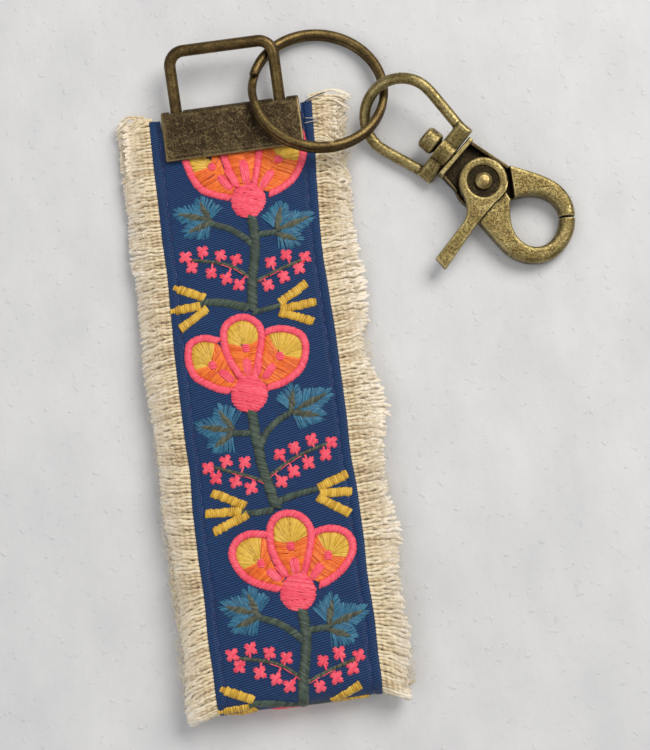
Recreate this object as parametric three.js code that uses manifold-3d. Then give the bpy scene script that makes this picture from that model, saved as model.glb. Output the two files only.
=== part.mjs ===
// Wristlet keychain: a folded embroidered ribbon strap in a metal end clamp, a wire loop, a split
// ring and a swivel scissor hook. Millimetres, +Z up, lying on the plane z = 0.
// The strap runs along -Y from the clamp; the origin is the middle of the clamp's underside.
import * as THREE from 'three';
import { mergeVertices } from 'three/addons/utils/BufferGeometryUtils.js';
import Module from 'manifold-3d';

const wasm = await Module();
wasm.setup();

const RAD = Math.PI / 180;

// ---- driving dimensions ----
const CLAMP = { width: 32, half: 6.2, height: 5.6, sheet: 0.9, foldR: 2.0, bevel: 1.1, bevelDrop: 0.35 };
const WIRE = { dia: 2.7, span: 24.1, reach: 16.2, topR: 3.2, footR: 1.6, x: -0.4, y: 3.6, z: 2.8, tilt: 16.5,
  rock: 6, slotGap: 0.2 };
const RING = { centre: [20.7, 6.1, 5.3], radius: 15.2, radial: 2.0, axial: 1.4, pitch: 1.5,
  slopeX: -0.11, slopeY: -0.215, joggle: 30, cut: 160 };
const STRAP = { axisX: -1.1, ribbonHalf: 18, linenHalf: 26.2, flare: 2.2, flareFrom: -26, flareKnee: -16,
  top: 6.5, base: 0.1,
  ribbon: 0.7, gap: 0.15, linen: 1.15, outer: 9.2, foldY: -126.5, foldArc: 138 };
const BODY_GAP = 0.3;
const SWING = { length: 62, startY: -6.2, startZ: 4.6, pivotZ: 2.3, notch: 21 };
const SPRING = { turns: 2.25, radius: 2.3, low: -0.48, high: 0.06, wire: 0.1, wireTall: 0.18 };
const HOOK = { centre: [47.5, -12.5, 4.8], heading: -47.5, slope: -0.085 };
const DLOOP = { wire: 2.65, bow: 8.7, bowAt: -12.8, foot: 6.5, roll: 26, barLong: 15.6, barWide: 3.8,
  barThick: 3.4, boss: 2.9 };
const POST = { shank: 1.6, bore: 1.75, head: 2.7, headFrom: -6.2, headTo: -2.3, tail: 2.9 };
const PIVOT = { a: 11.07, w: 0.08, discR: 5.6, recessR: 3.7, pocketR: 3.4, shank: 1.2, bore: 1.28,
  dome: 2.1 };
const LEVEL = { under: -2.1, jawUnder: -1.8, floor: -0.9, lowWall: -0.1, highWall: 0.9, disc: -0.55,
  lever: 0.3, top: 2.2, jawTop: 2.0 };

// ---- solids ----
function solid(geometry) {
  const g = geometry.index ? geometry.toNonIndexed() : geometry;
  g.deleteAttribute('normal');
  g.deleteAttribute('uv');
  const m = mergeVertices(g, 1e-4);
  return new wasm.Manifold(new wasm.Mesh({
    numProp: 3,
    vertProperties: new Float32Array(m.attributes.position.array),
    triVerts: new Uint32Array(m.index.array),
  }));
}

function outline(points) {
  return new THREE.Shape(points.map(([x, y]) => new THREE.Vector2(x, y)));
}

function prism(shape, z0, z1, curveSegments = 12) {
  const g = new THREE.ExtrudeGeometry(shape, { depth: z1 - z0, bevelEnabled: false, curveSegments });
  return g.translate(0, 0, z0);
}

function softPrism(shape, z0, z1, bevel) {
  const g = new THREE.ExtrudeGeometry(shape, { depth: z1 - z0 - 2 * bevel, bevelEnabled: true,
    bevelThickness: bevel, bevelSize: bevel, bevelOffset: -bevel, bevelSegments: 2, curveSegments: 8 });
  return g.translate(0, 0, z0 + bevel);
}

// A side profile drawn in (y, z), extruded between two X positions.
function acrossX(shape, x0, x1, curveSegments = 8) {
  const basis = new THREE.Matrix4().makeBasis(
    new THREE.Vector3(0, 1, 0), new THREE.Vector3(0, 0, 1), new THREE.Vector3(1, 0, 0));
  return prism(shape, x0, x1, curveSegments).applyMatrix4(basis);
}

function lathe(points, segments = 28) {
  return new THREE.LatheGeometry(points.map(([r, h]) => new THREE.Vector2(r, h)), segments);
}

function disc(radius, y0, y1, segments = 28) {
  return lathe([[0, y0], [radius, y0], [radius, y1], [0, y1]], segments);
}

function oval(rx, ry, sides) {
  const points = [];
  for (let i = 0; i < sides; i += 1) {
    const t = (2 * Math.PI * (i + 0.5)) / sides;
    points.push([rx * Math.cos(t), ry * Math.sin(t)]);
  }
  return outline(points);
}

function sweep(path, section, steps) {
  return new THREE.ExtrudeGeometry(section, { steps, extrudePath: path, bevelEnabled: false });
}

const group = new THREE.Group();

function add(name, body, color, metalness = 0) {
  const mesh = body.getMesh();
  const g = new THREE.BufferGeometry();
  g.setAttribute('position', new THREE.Float32BufferAttribute(mesh.vertProperties, 3));
  g.setIndex(new THREE.Uint32BufferAttribute(mesh.triVerts, 1));
  g.computeVertexNormals();
  const material = new THREE.MeshStandardMaterial({ color, metalness, roughness: metalness ? 0.45 : 0.9 });
  const node = new THREE.Mesh(g, material);
  node.name = name;
  group.add(node);
}

const BRASS = 0x7c6a45;
const DARK_BRASS = 0x4a3d2c;
const BLUE = 0x16357a;
const CREAM = 0xd8c8a4;

// ---- end clamp: a folded sheet, open towards the strap, with two leg slots in its fold ----
{
  const { half, height, sheet, foldR, bevel, bevelDrop } = CLAMP;
  const r = foldR - sheet;
  const s = new THREE.Shape();
  s.moveTo(-half, height - bevelDrop);
  s.lineTo(-half, height - sheet);
  s.lineTo(half - foldR, height - sheet);
  s.absarc(half - foldR, height - foldR, r, 90 * RAD, 0, true);
  s.absarc(half - foldR, foldR, r, 0, -90 * RAD, true);
  s.lineTo(-half, sheet);
  s.lineTo(-half, bevelDrop);
  s.lineTo(-half + bevel, 0);
  s.lineTo(half - foldR, 0);
  s.absarc(half - foldR, foldR, foldR, -90 * RAD, 0, false);
  s.absarc(half - foldR, height - foldR, foldR, 0, 90 * RAD, false);
  s.lineTo(-half + bevel, height);
  // Each slot follows its leg of the wire loop, from the leg's rest to the end of its rocking.
  const from = half - foldR - 0.3;
  const to = half + 1;
  const edge = (y, tilt, side) => WIRE.z + (y - WIRE.y) * Math.tan(tilt * RAD)
    + side * (WIRE.dia / 2 + WIRE.slotGap) / Math.cos(tilt * RAD);
  const high = WIRE.tilt + WIRE.rock;
  const slot = outline([[from, edge(from, WIRE.tilt, -1)], [to, edge(to, WIRE.tilt, -1)],
    [to, edge(to, high, 1)], [from, edge(from, high, 1)]]);
  let shell = solid(acrossX(s, -CLAMP.width / 2, CLAMP.width / 2));
  for (const side of [-1, 1]) {
    const x = WIRE.x + side * (WIRE.span / 2);
    const reach = WIRE.dia / 2 + WIRE.slotGap;
    shell = shell.subtract(solid(acrossX(slot, x - reach, x + reach)));
  }
  add('clamp_shell', shell, DARK_BRASS, 0.8);
}

// ---- wire loop: one closed rectangle of round wire, its foot bar inside the clamp's fold ----
{
  const halfSpan = WIRE.span / 2;
  const mid = WIRE.reach / 2;
  const halfLoop = (far, radius, sign) => {
    const path = new THREE.CurvePath();
    const p = (x, y) => new THREE.Vector3(x, y, 0);
    const bend = (from, corner, to) => path.add(new THREE.QuadraticBezierCurve3(from, corner, to));
    path.add(new THREE.LineCurve3(p(-halfSpan, mid - sign), p(-halfSpan, far - sign * radius)));
    bend(p(-halfSpan, far - sign * radius), p(-halfSpan, far), p(-halfSpan + radius, far));
    path.add(new THREE.LineCurve3(p(-halfSpan + radius, far), p(halfSpan - radius, far)));
    bend(p(halfSpan - radius, far), p(halfSpan, far), p(halfSpan, far - sign * radius));
    path.add(new THREE.LineCurve3(p(halfSpan, far - sign * radius), p(halfSpan, mid - sign)));
    return solid(sweep(path, oval(WIRE.dia / 2, WIRE.dia / 2, 12), 56));
  };
  const loop = halfLoop(WIRE.reach, WIRE.topR, 1).add(halfLoop(0, WIRE.footR, -1));
  add('wire_loop', loop.rotate([WIRE.tilt, 0, 0]).translate([WIRE.x, WIRE.y, WIRE.z]), BRASS, 0.8);
}

// ---- split ring: two turns of flat wire that change level at a joggle between the cut ends ----
class SplitRingPath extends THREE.Curve {
  getPoint(t, target = new THREE.Vector3()) {
    const turn = RING.joggle + (720 - RING.joggle) * t;
    const k = THREE.MathUtils.smoothstep(turn, 360, 360 + RING.joggle);
    const angle = (turn + RING.cut) * RAD;
    return target.set(RING.radius * Math.cos(angle), RING.radius * Math.sin(angle), RING.pitch * (k - 0.5));
  }
}
{
  const up = new THREE.Vector3(-RING.slopeX, -RING.slopeY, 1).normalize();
  const along = new THREE.Vector3(1, 0, RING.slopeX).normalize();
  const across = new THREE.Vector3().crossVectors(up, along);
  const place = new THREE.Matrix4().makeBasis(along, across, up).setPosition(...RING.centre);
  const wire = sweep(new SplitRingPath(), oval(RING.axial / 2, RING.radial / 2, 10), 132);
  add('split_ring', solid(wire.applyMatrix4(place)), BRASS, 0.8);
}

// ---- hook frames: a along the post, w across, n up; the D loop is rolled about the post ----
const heading = new THREE.Vector3(Math.cos(HOOK.heading * RAD), Math.sin(HOOK.heading * RAD), 0);
const axisA = heading.clone().setZ(HOOK.slope).normalize();
const axisW = new THREE.Vector3(-heading.y, heading.x, 0);
const axisN = new THREE.Vector3().crossVectors(axisA, axisW);
const hookFrame = new THREE.Matrix4().makeBasis(axisA, axisW, axisN).setPosition(...HOOK.centre);
const loopFrame = hookFrame.clone().multiply(new THREE.Matrix4().makeRotationX(DLOOP.roll * RAD));
// A lathe's Y axis laid along the post, and along the rivet.
const alongPost = new THREE.Matrix4().makeRotationZ(-90 * RAD);
const alongRivet = new THREE.Matrix4().makeTranslation(PIVOT.a, PIVOT.w, 0)
  .multiply(new THREE.Matrix4().makeRotationX(90 * RAD));

function placed(body, frame) {
  return body.transform(frame.elements);
}

{
  const path = new THREE.CurvePath();
  const { bow, bowAt, foot } = DLOOP;
  const lean = Math.asin((bow - foot) / Math.hypot(bowAt, foot)) + 4 * RAD;
  const tangent = (sign) => new THREE.Vector3(bowAt + bow * Math.sin(lean), sign * bow * Math.cos(lean), 0);
  const points = [];
  for (let i = 0; i <= 12; i += 1) {
    const angle = 90 * RAD - lean + (i / 12) * (180 * RAD + 2 * lean);
    points.push(new THREE.Vector3(bowAt + bow * Math.cos(angle), bow * Math.sin(angle), 0));
  }
  path.add(new THREE.LineCurve3(new THREE.Vector3(-0.4, foot, 0), tangent(1)));
  path.add(new THREE.CatmullRomCurve3(points));
  path.add(new THREE.LineCurve3(tangent(-1), new THREE.Vector3(-0.4, -foot, 0)));
  const bent = solid(sweep(path, oval(DLOOP.wire / 2, DLOOP.wire / 2, 12), 60));
  const rect = outline([
    [-DLOOP.barWide / 2, -DLOOP.barLong / 2], [DLOOP.barWide / 2, -DLOOP.barLong / 2],
    [DLOOP.barWide / 2, DLOOP.barLong / 2], [-DLOOP.barWide / 2, DLOOP.barLong / 2]]);
  const bar = solid(softPrism(rect, -DLOOP.barThick / 2, DLOOP.barThick / 2, 0.8));
  const boss = solid(disc(DLOOP.boss, -DLOOP.barWide / 2, DLOOP.barWide / 2).applyMatrix4(alongPost));
  const bore = solid(disc(POST.bore, -9, 9).applyMatrix4(alongPost));
  add('swivel_loop', placed(bent.add(bar).add(boss).subtract(bore), loopFrame), BRASS, 0.8);
}

// ---- swivel post: a button head inside the D loop, its shank through the bar into the hook ----
{
  const { head, headFrom, headTo, shank, tail } = POST;
  const post = lathe([[0, headFrom], [head - 0.6, headFrom], [head, headFrom + 0.6], [head, headTo - 0.5],
    [head - 0.5, headTo], [shank, headTo], [shank, tail], [0, tail]]);
  add('swivel_post', placed(solid(post.applyMatrix4(alongPost)), hookFrame), BRASS, 0.8);
}

// ---- hook body: collar, recessed floor with two side walls, and the fixed jaw ----
{
  const { a, w } = PIVOT;
  const floorR = 6.4;
  const floor = new THREE.Shape();
  floor.moveTo(2.6, 5.8);
  floor.lineTo(2.6, -4.6);
  floor.lineTo(7.4, -5.2);
  floor.absarc(a, w, floorR, -125 * RAD, 6 * RAD, false);
  floor.lineTo(19.0, 2.0);
  floor.lineTo(18.2, 8.4);
  floor.lineTo(13.2, 6.9);
  let body = solid(prism(floor, LEVEL.under, LEVEL.floor, 16));
  const collar = outline([[2.1, -4.9], [3.3, -4.9], [3.3, 6.0], [2.1, 6.0]]);
  const highWall = outline([[2.8, 5.8], [2.8, 5.05], [13.4, 6.15], [13.9, 7.1], [13.2, 6.9]]);
  const lowWall = outline([[2.8, -4.6], [7.4, -5.2], [8.0, -5.5], [8.0, -4.9], [2.8, -3.9]]);
  const jaw = new THREE.Shape();
  jaw.moveTo(13.4, 6.9);
  jaw.lineTo(18.9, 1.9);
  jaw.bezierCurveTo(20.6, 4.2, 22.6, 6.6, 26.0, 6.7);
  jaw.bezierCurveTo(27.6, 6.7, 28.8, 6.1, 29.5, 5.3);
  jaw.lineTo(32.2, 7.8);
  jaw.bezierCurveTo(30.4, 10.0, 27.4, 11.2, 24.4, 11.0);
  jaw.bezierCurveTo(21.0, 10.6, 17.4, 8.9, 13.4, 6.9);
  body = body.add(solid(softPrism(collar, -2.1, 2.1, 0.3)));
  body = body.add(solid(prism(highWall, LEVEL.under, LEVEL.highWall)));
  body = body.add(solid(prism(lowWall, LEVEL.under, LEVEL.lowWall)));
  body = body.add(solid(softPrism(jaw, LEVEL.under, LEVEL.jawTop, 0.5)));
  body = body.subtract(solid(disc(POST.bore, 1, POST.tail + 0.1).applyMatrix4(alongPost)));
  body = body.subtract(solid(disc(PIVOT.bore, -4, 4).applyMatrix4(alongRivet)));
  add('hook_body', placed(body, hookFrame), BRASS, 0.8);
}

// ---- trigger: disc, thumb lever and swinging jaw in one casting ----
{
  const { a, w, discR, recessR, pocketR } = PIVOT;
  const hub = solid(disc(discR, LEVEL.disc, LEVEL.top, 40).applyMatrix4(alongRivet));
  const lever = new THREE.Shape();
  lever.moveTo(a + 4.9, w + 2.2);
  lever.lineTo(a - 4.9, w - 2.6);
  lever.bezierCurveTo(7.6, -5.4, 12.9, -5.4, 13.6, -10.1);
  lever.lineTo(14.1, -20.8);
  lever.lineTo(17.5, -21.3);
  lever.lineTo(16.4, -9.7);
  const jaw = new THREE.Shape();
  jaw.moveTo(18.7, 0.3);
  jaw.bezierCurveTo(20.4, -1.2, 21.8, -4.0, 25.4, -4.7);
  jaw.bezierCurveTo(28.0, -5.2, 30.4, -4.0, 31.3, -1.4);
  jaw.bezierCurveTo(31.9, 0.8, 31.2, 3.4, 29.8, 5.0);
  jaw.lineTo(32.5, 7.5);
  jaw.bezierCurveTo(35.0, 4.8, 35.8, 0.6, 34.7, -3.0);
  jaw.bezierCurveTo(33.3, -6.8, 29.6, -9.2, 25.4, -9.1);
  jaw.bezierCurveTo(22.4, -8.9, 21.2, -7.5, 18.6, -7.6);
  jaw.bezierCurveTo(17.4, -7.8, 16.8, -8.6, 16.3, -9.3);
  jaw.absarc(a, w, 6.75, -50 * RAD, -10 * RAD, false);
  const root = outline([[15.0, 2.0], [18.6, 0.9], [20.0, -3.5], [17.5, -7.4], [14.6, -5.6]]);
  let body = hub.add(solid(softPrism(lever, LEVEL.lever, LEVEL.top, 0.3)));
  body = body.add(solid(prism(jaw, LEVEL.jawUnder, LEVEL.jawTop - 0.2, 8)));
  body = body.add(solid(prism(root, LEVEL.disc, LEVEL.jawTop - 0.3)));
  body = body.subtract(solid(disc(recessR, LEVEL.top - 0.5, LEVEL.top + 1).applyMatrix4(alongRivet)));
  body = body.subtract(solid(disc(pocketR, LEVEL.disc - 1, 0.6).applyMatrix4(alongRivet)));
  body = body.subtract(solid(disc(PIVOT.bore, -4, 4).applyMatrix4(alongRivet)));
  add('trigger', placed(body, hookFrame), BRASS, 0.8);
}

// ---- rivet: domed head in the disc's recess, shank through the hook's floor, flat tail ----
{
  const { shank, dome } = PIVOT;
  const profile = [[0, -2.5], [2.0, -2.5], [2.0, -2.25], [shank, -2.25], [shank, 1.8], [dome, 1.8],
    [dome * 0.9, 2.4], [dome * 0.55, 2.85], [0, 3.0]];
  add('rivet', placed(solid(lathe(profile).applyMatrix4(alongRivet)), hookFrame), BRASS, 0.8);
}

// ---- trigger spring: a torsion coil around the rivet, in the pocket under the disc ----
class SpringPath extends THREE.Curve {
  getPoint(t, target = new THREE.Vector3()) {
    const angle = 2 * Math.PI * SPRING.turns * t;
    const { radius, low, high } = SPRING;
    return target.set(radius * Math.cos(angle), radius * Math.sin(angle), low + (high - low) * t);
  }
}
{
  const wire = oval(SPRING.wire, SPRING.wireTall, 6);
  const coil = sweep(new SpringPath(), wire, 72).translate(PIVOT.a, PIVOT.w, 0);
  add('trigger_spring', placed(solid(coil), hookFrame), DARK_BRASS, 0.8);
}

// ---- strap: every stretch is its side profile cut to the strap's outline ----
// The right edge flares beside the clamp, and the folded end is notched around the clamp's foot bar.
function planOutline(halfWidth) {
  const { axisX, flare, flareFrom, flareKnee, top, foldY } = STRAP;
  const left = axisX - halfWidth;
  const right = axisX + halfWidth;
  const beyond = foldY - 10;
  const notchX = CLAMP.width / 2 + 0.4;
  const notchY = WIRE.y - WIRE.dia / 2 - 0.35;
  const shape = outline([
    [left, beyond], [right, beyond], [right, flareFrom], [right + flare * 0.3, flareKnee],
    [right + flare, top], [notchX, top], [notchX, notchY], [-notchX, notchY], [-notchX, top], [left, top]]);
  return solid(prism(shape, -5, 15));
}

const plan = {
  ribbon: planOutline(STRAP.ribbonHalf),
  linen: planOutline(STRAP.linenHalf),
};

function stretch(name, layer, profile, segments = 12) {
  const color = layer === 'ribbon' ? BLUE : CREAM;
  const beyond = STRAP.linenHalf + 10;
  add(name, solid(acrossX(profile, -beyond, beyond, segments)).intersect(plan[layer]), color);
}

// Distances from a layer's outer surface to each material's two faces.
const DEPTH = {
  ribbon: [0, STRAP.ribbon],
  linen: [STRAP.ribbon + STRAP.gap, STRAP.ribbon + STRAP.gap + STRAP.linen],
};
const CLAMPED = { ribbon: [0, 0.6], linen: [0.7, 1.75] };
const foldZ = (STRAP.base + STRAP.outer) / 2;
const foldR = (STRAP.outer - STRAP.base) / 2;
const backPivotY = STRAP.foldY + SWING.length;
const frontPivot = [SWING.startY - SWING.length, SWING.startZ + foldZ - SWING.pivotZ];
const stepY = -11;

for (const layer of ['ribbon', 'linen']) {
  const [d0, d1] = DEPTH[layer];
  const [c0, c1] = CLAMPED[layer];
  const backZ = CLAMP.sheet + 0.1;
  const lip = -CLAMP.half;
  stretch(`${layer}_clamped_front`, layer, outline([
    [STRAP.top, SWING.startZ - c0], [STRAP.top, SWING.startZ - c1], [lip, SWING.startZ - c1],
    [lip, SWING.startZ - c0]]));
  stretch(`${layer}_back_upper`, layer, outline([
    [STRAP.top, backZ + c0], [STRAP.top, backZ + c1], [lip, backZ + c1], [stepY, STRAP.base + d1],
    [backPivotY + BODY_GAP / 2, STRAP.base + d1], [backPivotY + BODY_GAP / 2, STRAP.base + d0],
    [stepY, STRAP.base + d0], [lip, backZ + c0]]));
  stretch(`${layer}_back_lower`, layer, outline([
    [backPivotY - BODY_GAP / 2, STRAP.base + d1], [STRAP.foldY, STRAP.base + d1],
    [STRAP.foldY, STRAP.base + d0], [backPivotY - BODY_GAP / 2, STRAP.base + d0]]));

  const half = STRAP.foldArc / 2;
  const bend = new THREE.Shape();
  bend.absarc(STRAP.foldY, foldZ, foldR - d0, (180 - half) * RAD, (180 + half) * RAD, false);
  bend.absarc(STRAP.foldY, foldZ, foldR - d1, (180 + half) * RAD, (180 - half) * RAD, true);
  stretch(`${layer}_fold`, layer, bend);

  const notch = (depth) => Math.tan(SWING.notch * RAD) * depth + BODY_GAP / 2;
  const [pivotY, pivotZ] = frontPivot;
  stretch(`${layer}_front_lower`, layer, outline([
    [STRAP.foldY, STRAP.outer - d0], [STRAP.foldY, STRAP.outer - d1],
    [pivotY - notch(d1), pivotZ - d1], [pivotY - notch(d0), pivotZ - d0]]));
  stretch(`${layer}_front_upper`, layer, outline([
    [pivotY + notch(d0), pivotZ - d0], [pivotY + notch(d1), pivotZ - d1],
    [lip - BODY_GAP, SWING.startZ - c1], [lip - BODY_GAP, SWING.startZ - c0]]));
}

export default group;
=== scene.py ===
"""Wristlet keychain: the strap's ribbon, embroidery, linen and fringe as thread-sized geometry,
and the brass fittings. Lengths in this script are in mm until a mesh is made, then in metres.

A place on the strap is (v, s): v across it from its middle line, s along its face from the
clamp's lip down the front, round the fold and up the back."""

import itertools
import math

import bpy
import numpy as np
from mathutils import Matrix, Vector


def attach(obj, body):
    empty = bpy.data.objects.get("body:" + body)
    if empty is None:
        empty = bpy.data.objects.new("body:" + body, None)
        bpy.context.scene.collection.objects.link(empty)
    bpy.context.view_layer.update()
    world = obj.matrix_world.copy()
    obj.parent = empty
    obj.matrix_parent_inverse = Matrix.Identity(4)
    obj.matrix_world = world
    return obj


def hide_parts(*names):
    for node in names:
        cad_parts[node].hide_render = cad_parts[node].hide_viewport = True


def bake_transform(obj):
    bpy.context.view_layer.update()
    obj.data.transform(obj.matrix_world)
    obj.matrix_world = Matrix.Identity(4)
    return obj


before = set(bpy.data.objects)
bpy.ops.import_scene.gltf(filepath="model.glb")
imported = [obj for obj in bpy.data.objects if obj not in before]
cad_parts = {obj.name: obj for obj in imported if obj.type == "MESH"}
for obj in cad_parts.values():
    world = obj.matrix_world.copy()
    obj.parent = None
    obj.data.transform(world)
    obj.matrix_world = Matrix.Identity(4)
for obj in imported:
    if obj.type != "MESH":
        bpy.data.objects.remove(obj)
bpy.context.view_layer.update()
MM = 0.001
rng = np.random.RandomState(7)

# ---------------------------------------------------------------- camera and light
CAMERA_AT = (0.01167, -0.11345, 0.3242)
CAMERA_TURN = (9.46, 0.96, -7.65)
LENS = 69.6

cam_data = bpy.data.cameras.new("camera")
cam_data.lens = LENS
cam_data.sensor_width = 36
cam = bpy.data.objects.new("camera", cam_data)
cam.location = CAMERA_AT
cam.rotation_euler = [math.radians(a) for a in CAMERA_TURN]
bpy.context.scene.collection.objects.link(cam)
bpy.context.scene.camera = cam


def area_light(name, place, target, size, watts, colour):
    data = bpy.data.lights.new(name, "AREA")
    data.shape = "DISK"
    data.size = size
    data.energy = watts
    data.color = colour
    lamp = bpy.data.objects.new(name, data)
    lamp.location = place
    lamp.rotation_euler = (Vector(target) - Vector(place)).to_track_quat("-Z", "Y").to_euler()
    bpy.context.scene.collection.objects.link(lamp)


area_light("key", (0.42, 0.30, 0.62), (0.0, -0.06, 0), 0.55, 4.7, (1.0, 0.985, 0.96))
area_light("fill", (-0.45, -0.25, 0.75), (0.0, -0.06, 0), 0.8, 1.7, (0.95, 0.97, 1.0))

world = bpy.data.worlds.new("studio")
bpy.context.scene.world = world
world.use_nodes = True
world.node_tree.nodes["Background"].inputs["Color"].default_value = (0.95, 0.96, 1.0, 1)
world.node_tree.nodes["Background"].inputs["Strength"].default_value = 0.4
bpy.context.scene.view_settings.view_transform = "Standard"


# ---------------------------------------------------------------- material helpers
def srgb(r, g, b):
    return [((c / 255 + 0.055) / 1.055) ** 2.4 if c > 10 else c / 255 / 12.92 for c in (r, g, b)] + [1]


class Nodes:
    """A material's node tree, with short calls for the nodes used here."""

    def __init__(self, name):
        self.material = bpy.data.materials.new(name)
        self.material.use_nodes = True
        self.tree = self.material.node_tree
        self.shader = self.tree.nodes["Principled BSDF"]

    def node(self, kind, **inputs):
        n = self.tree.nodes.new(kind)
        for key, value in inputs.items():
            self.feed(n.inputs[key.replace("_", " ")], value)
        return n

    def feed(self, socket, value):
        if isinstance(value, bpy.types.NodeSocket):
            self.tree.links.new(value, socket)
        else:
            socket.default_value = value

    def math(self, operation, a, b=0.0, c=0.0):
        n = self.tree.nodes.new("ShaderNodeMath")
        n.operation = operation
        for socket, value in zip(n.inputs, (a, b, c)):
            self.feed(socket, value)
        return n.outputs[0]

    def lay(self):
        """The piece's own coordinates in mm: across, along, and a tint for each thread: its own tone, lowered
        as painted shade on the fringe's lower yarns.
        """
        n = self.tree.nodes.new("ShaderNodeAttribute")
        n.attribute_name = "lay"
        split = self.node("ShaderNodeSeparateXYZ", Vector=n.outputs["Vector"])
        return n.outputs["Vector"], split.outputs

    def place(self, scale):
        """Object coordinates in units of scale mm."""
        n = self.tree.nodes.new("ShaderNodeTexCoord")
        m = self.node("ShaderNodeMapping", Vector=n.outputs["Object"])
        m.inputs["Scale"].default_value = [1 / (scale * MM)] * 3
        return m.outputs[0]

    def scaled(self, vector, x, y, z=0.0):
        m = self.node("ShaderNodeMapping", Vector=vector)
        m.inputs["Scale"].default_value = (x, y, z)
        return m.outputs[0]

    def noise(self, vector, detail, rough=0.55):
        n = self.node("ShaderNodeTexNoise", Vector=vector, Scale=1.0, Detail=detail, Roughness=rough)
        return n.outputs["Fac"]

    def ramp(self, factor, *stops):
        n = self.node("ShaderNodeValToRGB", Fac=factor)
        while len(n.color_ramp.elements) < len(stops):
            n.color_ramp.elements.new(0.5)
        for element, (at, colour) in zip(n.color_ramp.elements, stops):
            element.position = at
            element.color = colour if hasattr(colour, "__len__") else (colour, colour, colour, 1)
        return n.outputs[0]

    def mix(self, factor, a, b):
        n = self.tree.nodes.new("ShaderNodeMix")
        n.data_type = "RGBA"
        for key, value in ((0, factor), (6, a), (7, b)):
            self.feed(n.inputs[key], value)
        return n.outputs[2]

    def bump(self, height, depth):
        """A bump from a height of 0 to 1, depth mm deep."""
        n = self.node("ShaderNodeBump", Height=height)
        n.inputs["Strength"].default_value = 1.0
        n.inputs["Distance"].default_value = depth * MM
        return n.outputs[0]

    def done(self, colour, normal, roughness, **values):
        self.feed(self.shader.inputs["Base Color"], colour)
        self.feed(self.shader.inputs["Roughness"], roughness)
        self.feed(self.shader.inputs["Normal"], normal)
        for key, value in values.items():
            self.shader.inputs[key.replace("_", " ")].default_value = value
        return self.material


def wave(m, phase):
    return m.math("MULTIPLY_ADD", m.math("SINE", phase), 0.5, 0.5)


# ---------------------------------------------------------------- materials
TWILL_MM = 0.52


def ribbon_material():
    m = Nodes("ribbon_twill")
    lay, (v, s, _) = m.lay()
    slanted = m.math("MULTIPLY_ADD", v, 0.18, s)
    rows = wave(m, m.math("MULTIPLY", slanted, 2 * math.pi / TWILL_MM))
    floats = wave(m, m.math("MULTIPLY_ADD", v, 2 * math.pi / 1.3, m.math("MULTIPLY", s, 9.0)))
    slub = m.noise(m.scaled(lay, 0.35, 3.0), 4)
    cloud = m.noise(m.scaled(lay, 0.08, 0.08), 2)
    height = m.math("MULTIPLY_ADD", floats, 0.15, m.math("MULTIPLY_ADD", slub, 0.6, rows))
    # The blue follows the weave's height: painted shade where it is low and painted highlight along its
    # raised twill lines; the cloud is the ribbon's own uneven tone.
    dark, middle, light = srgb(1, 19, 53), srgb(3, 45, 96), srgb(32, 107, 163)
    blue = m.ramp(m.math("MULTIPLY", height, 0.56), (0.18, dark), (0.6, middle), (0.95, light))
    blue = m.mix(m.ramp(cloud, (0.35, 0.0), (0.7, 0.4)), blue, srgb(3, 36, 84))
    return m.done(blue, m.bump(height, 0.1), 0.5, Sheen_Weight=0.03, Specular_IOR_Level=0.4)


def thread_material(name, dark, body, light, spread=0.32):
    m = Nodes(name)
    lay, (across, along, tint) = m.lay()
    fibres = m.noise(m.scaled(lay, 9.0, 0.9, 30.0), 3)
    height = m.math("MULTIPLY_ADD", wave(m, m.math("MULTIPLY_ADD", along, 5.0,
                                                   m.math("MULTIPLY", across, 16.0))), 0.35, fibres)
    shade = m.math("MULTIPLY_ADD", m.math("SUBTRACT", tint, 0.5), spread, fibres)
    # edge darkens each stitch towards its two sides: painted shade where the rounded thread turns down
    # between stitches.
    edge = m.math("POWER", m.math("ABSOLUTE", m.math("MULTIPLY", across, 3.2)), 3.0)
    colour = m.ramp(shade, (0.22, dark), (0.5, body), (0.82, light))
    colour = m.mix(m.math("MINIMUM", m.math("MULTIPLY", edge, 0.4), 0.5), colour, dark)
    return m.done(colour, m.bump(height, 0.045), 0.45, Sheen_Weight=0.15, Specular_IOR_Level=0.5)


def yarn_material():
    """Linen yarn: its twist shows near the ribbon, with painted shade in the twist's grooves, and it pales
    towards its end, partly from softer opened fibre and partly painted light on its lit outer half.
    """
    m = Nodes("linen_yarn")
    lay, (around, along, tint) = m.lay()
    twist = wave(m, m.math("MULTIPLY_ADD", along, 2 * math.pi / 1.25, around))
    fibres = m.noise(m.scaled(lay, 1.6, 2.2, 40.0), 4)
    height = m.math("MULTIPLY_ADD", twist, 0.3, fibres)
    # Paler towards each yarn's end: partly its opened fibre, partly painted light where the outer half is
    # lit.
    opened_and_lit = m.ramp(m.math("MULTIPLY", along, 0.1), (0.25, 0.0), (0.7, 1.0))
    # shade takes each yarn's tint and its twist's height, so the twist's grooves get painted shade.
    shade = m.math("MULTIPLY_ADD", m.math("SUBTRACT", tint, 0.5), 0.42, m.math("MULTIPLY", height, 0.6))
    near = m.ramp(shade, (0.1, srgb(172, 143, 100)), (0.36, srgb(235, 214, 173)), (0.8, srgb(252, 241, 212)))
    soft = m.ramp(shade, (0.0, srgb(232, 213, 182)), (0.34, srgb(248, 235, 213)), (0.8, srgb(254, 247, 234)))
    return m.done(m.mix(opened_and_lit, near, soft), m.bump(height, 0.04), 0.88, Sheen_Weight=0.4,
                  Specular_IOR_Level=0.2)


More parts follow.
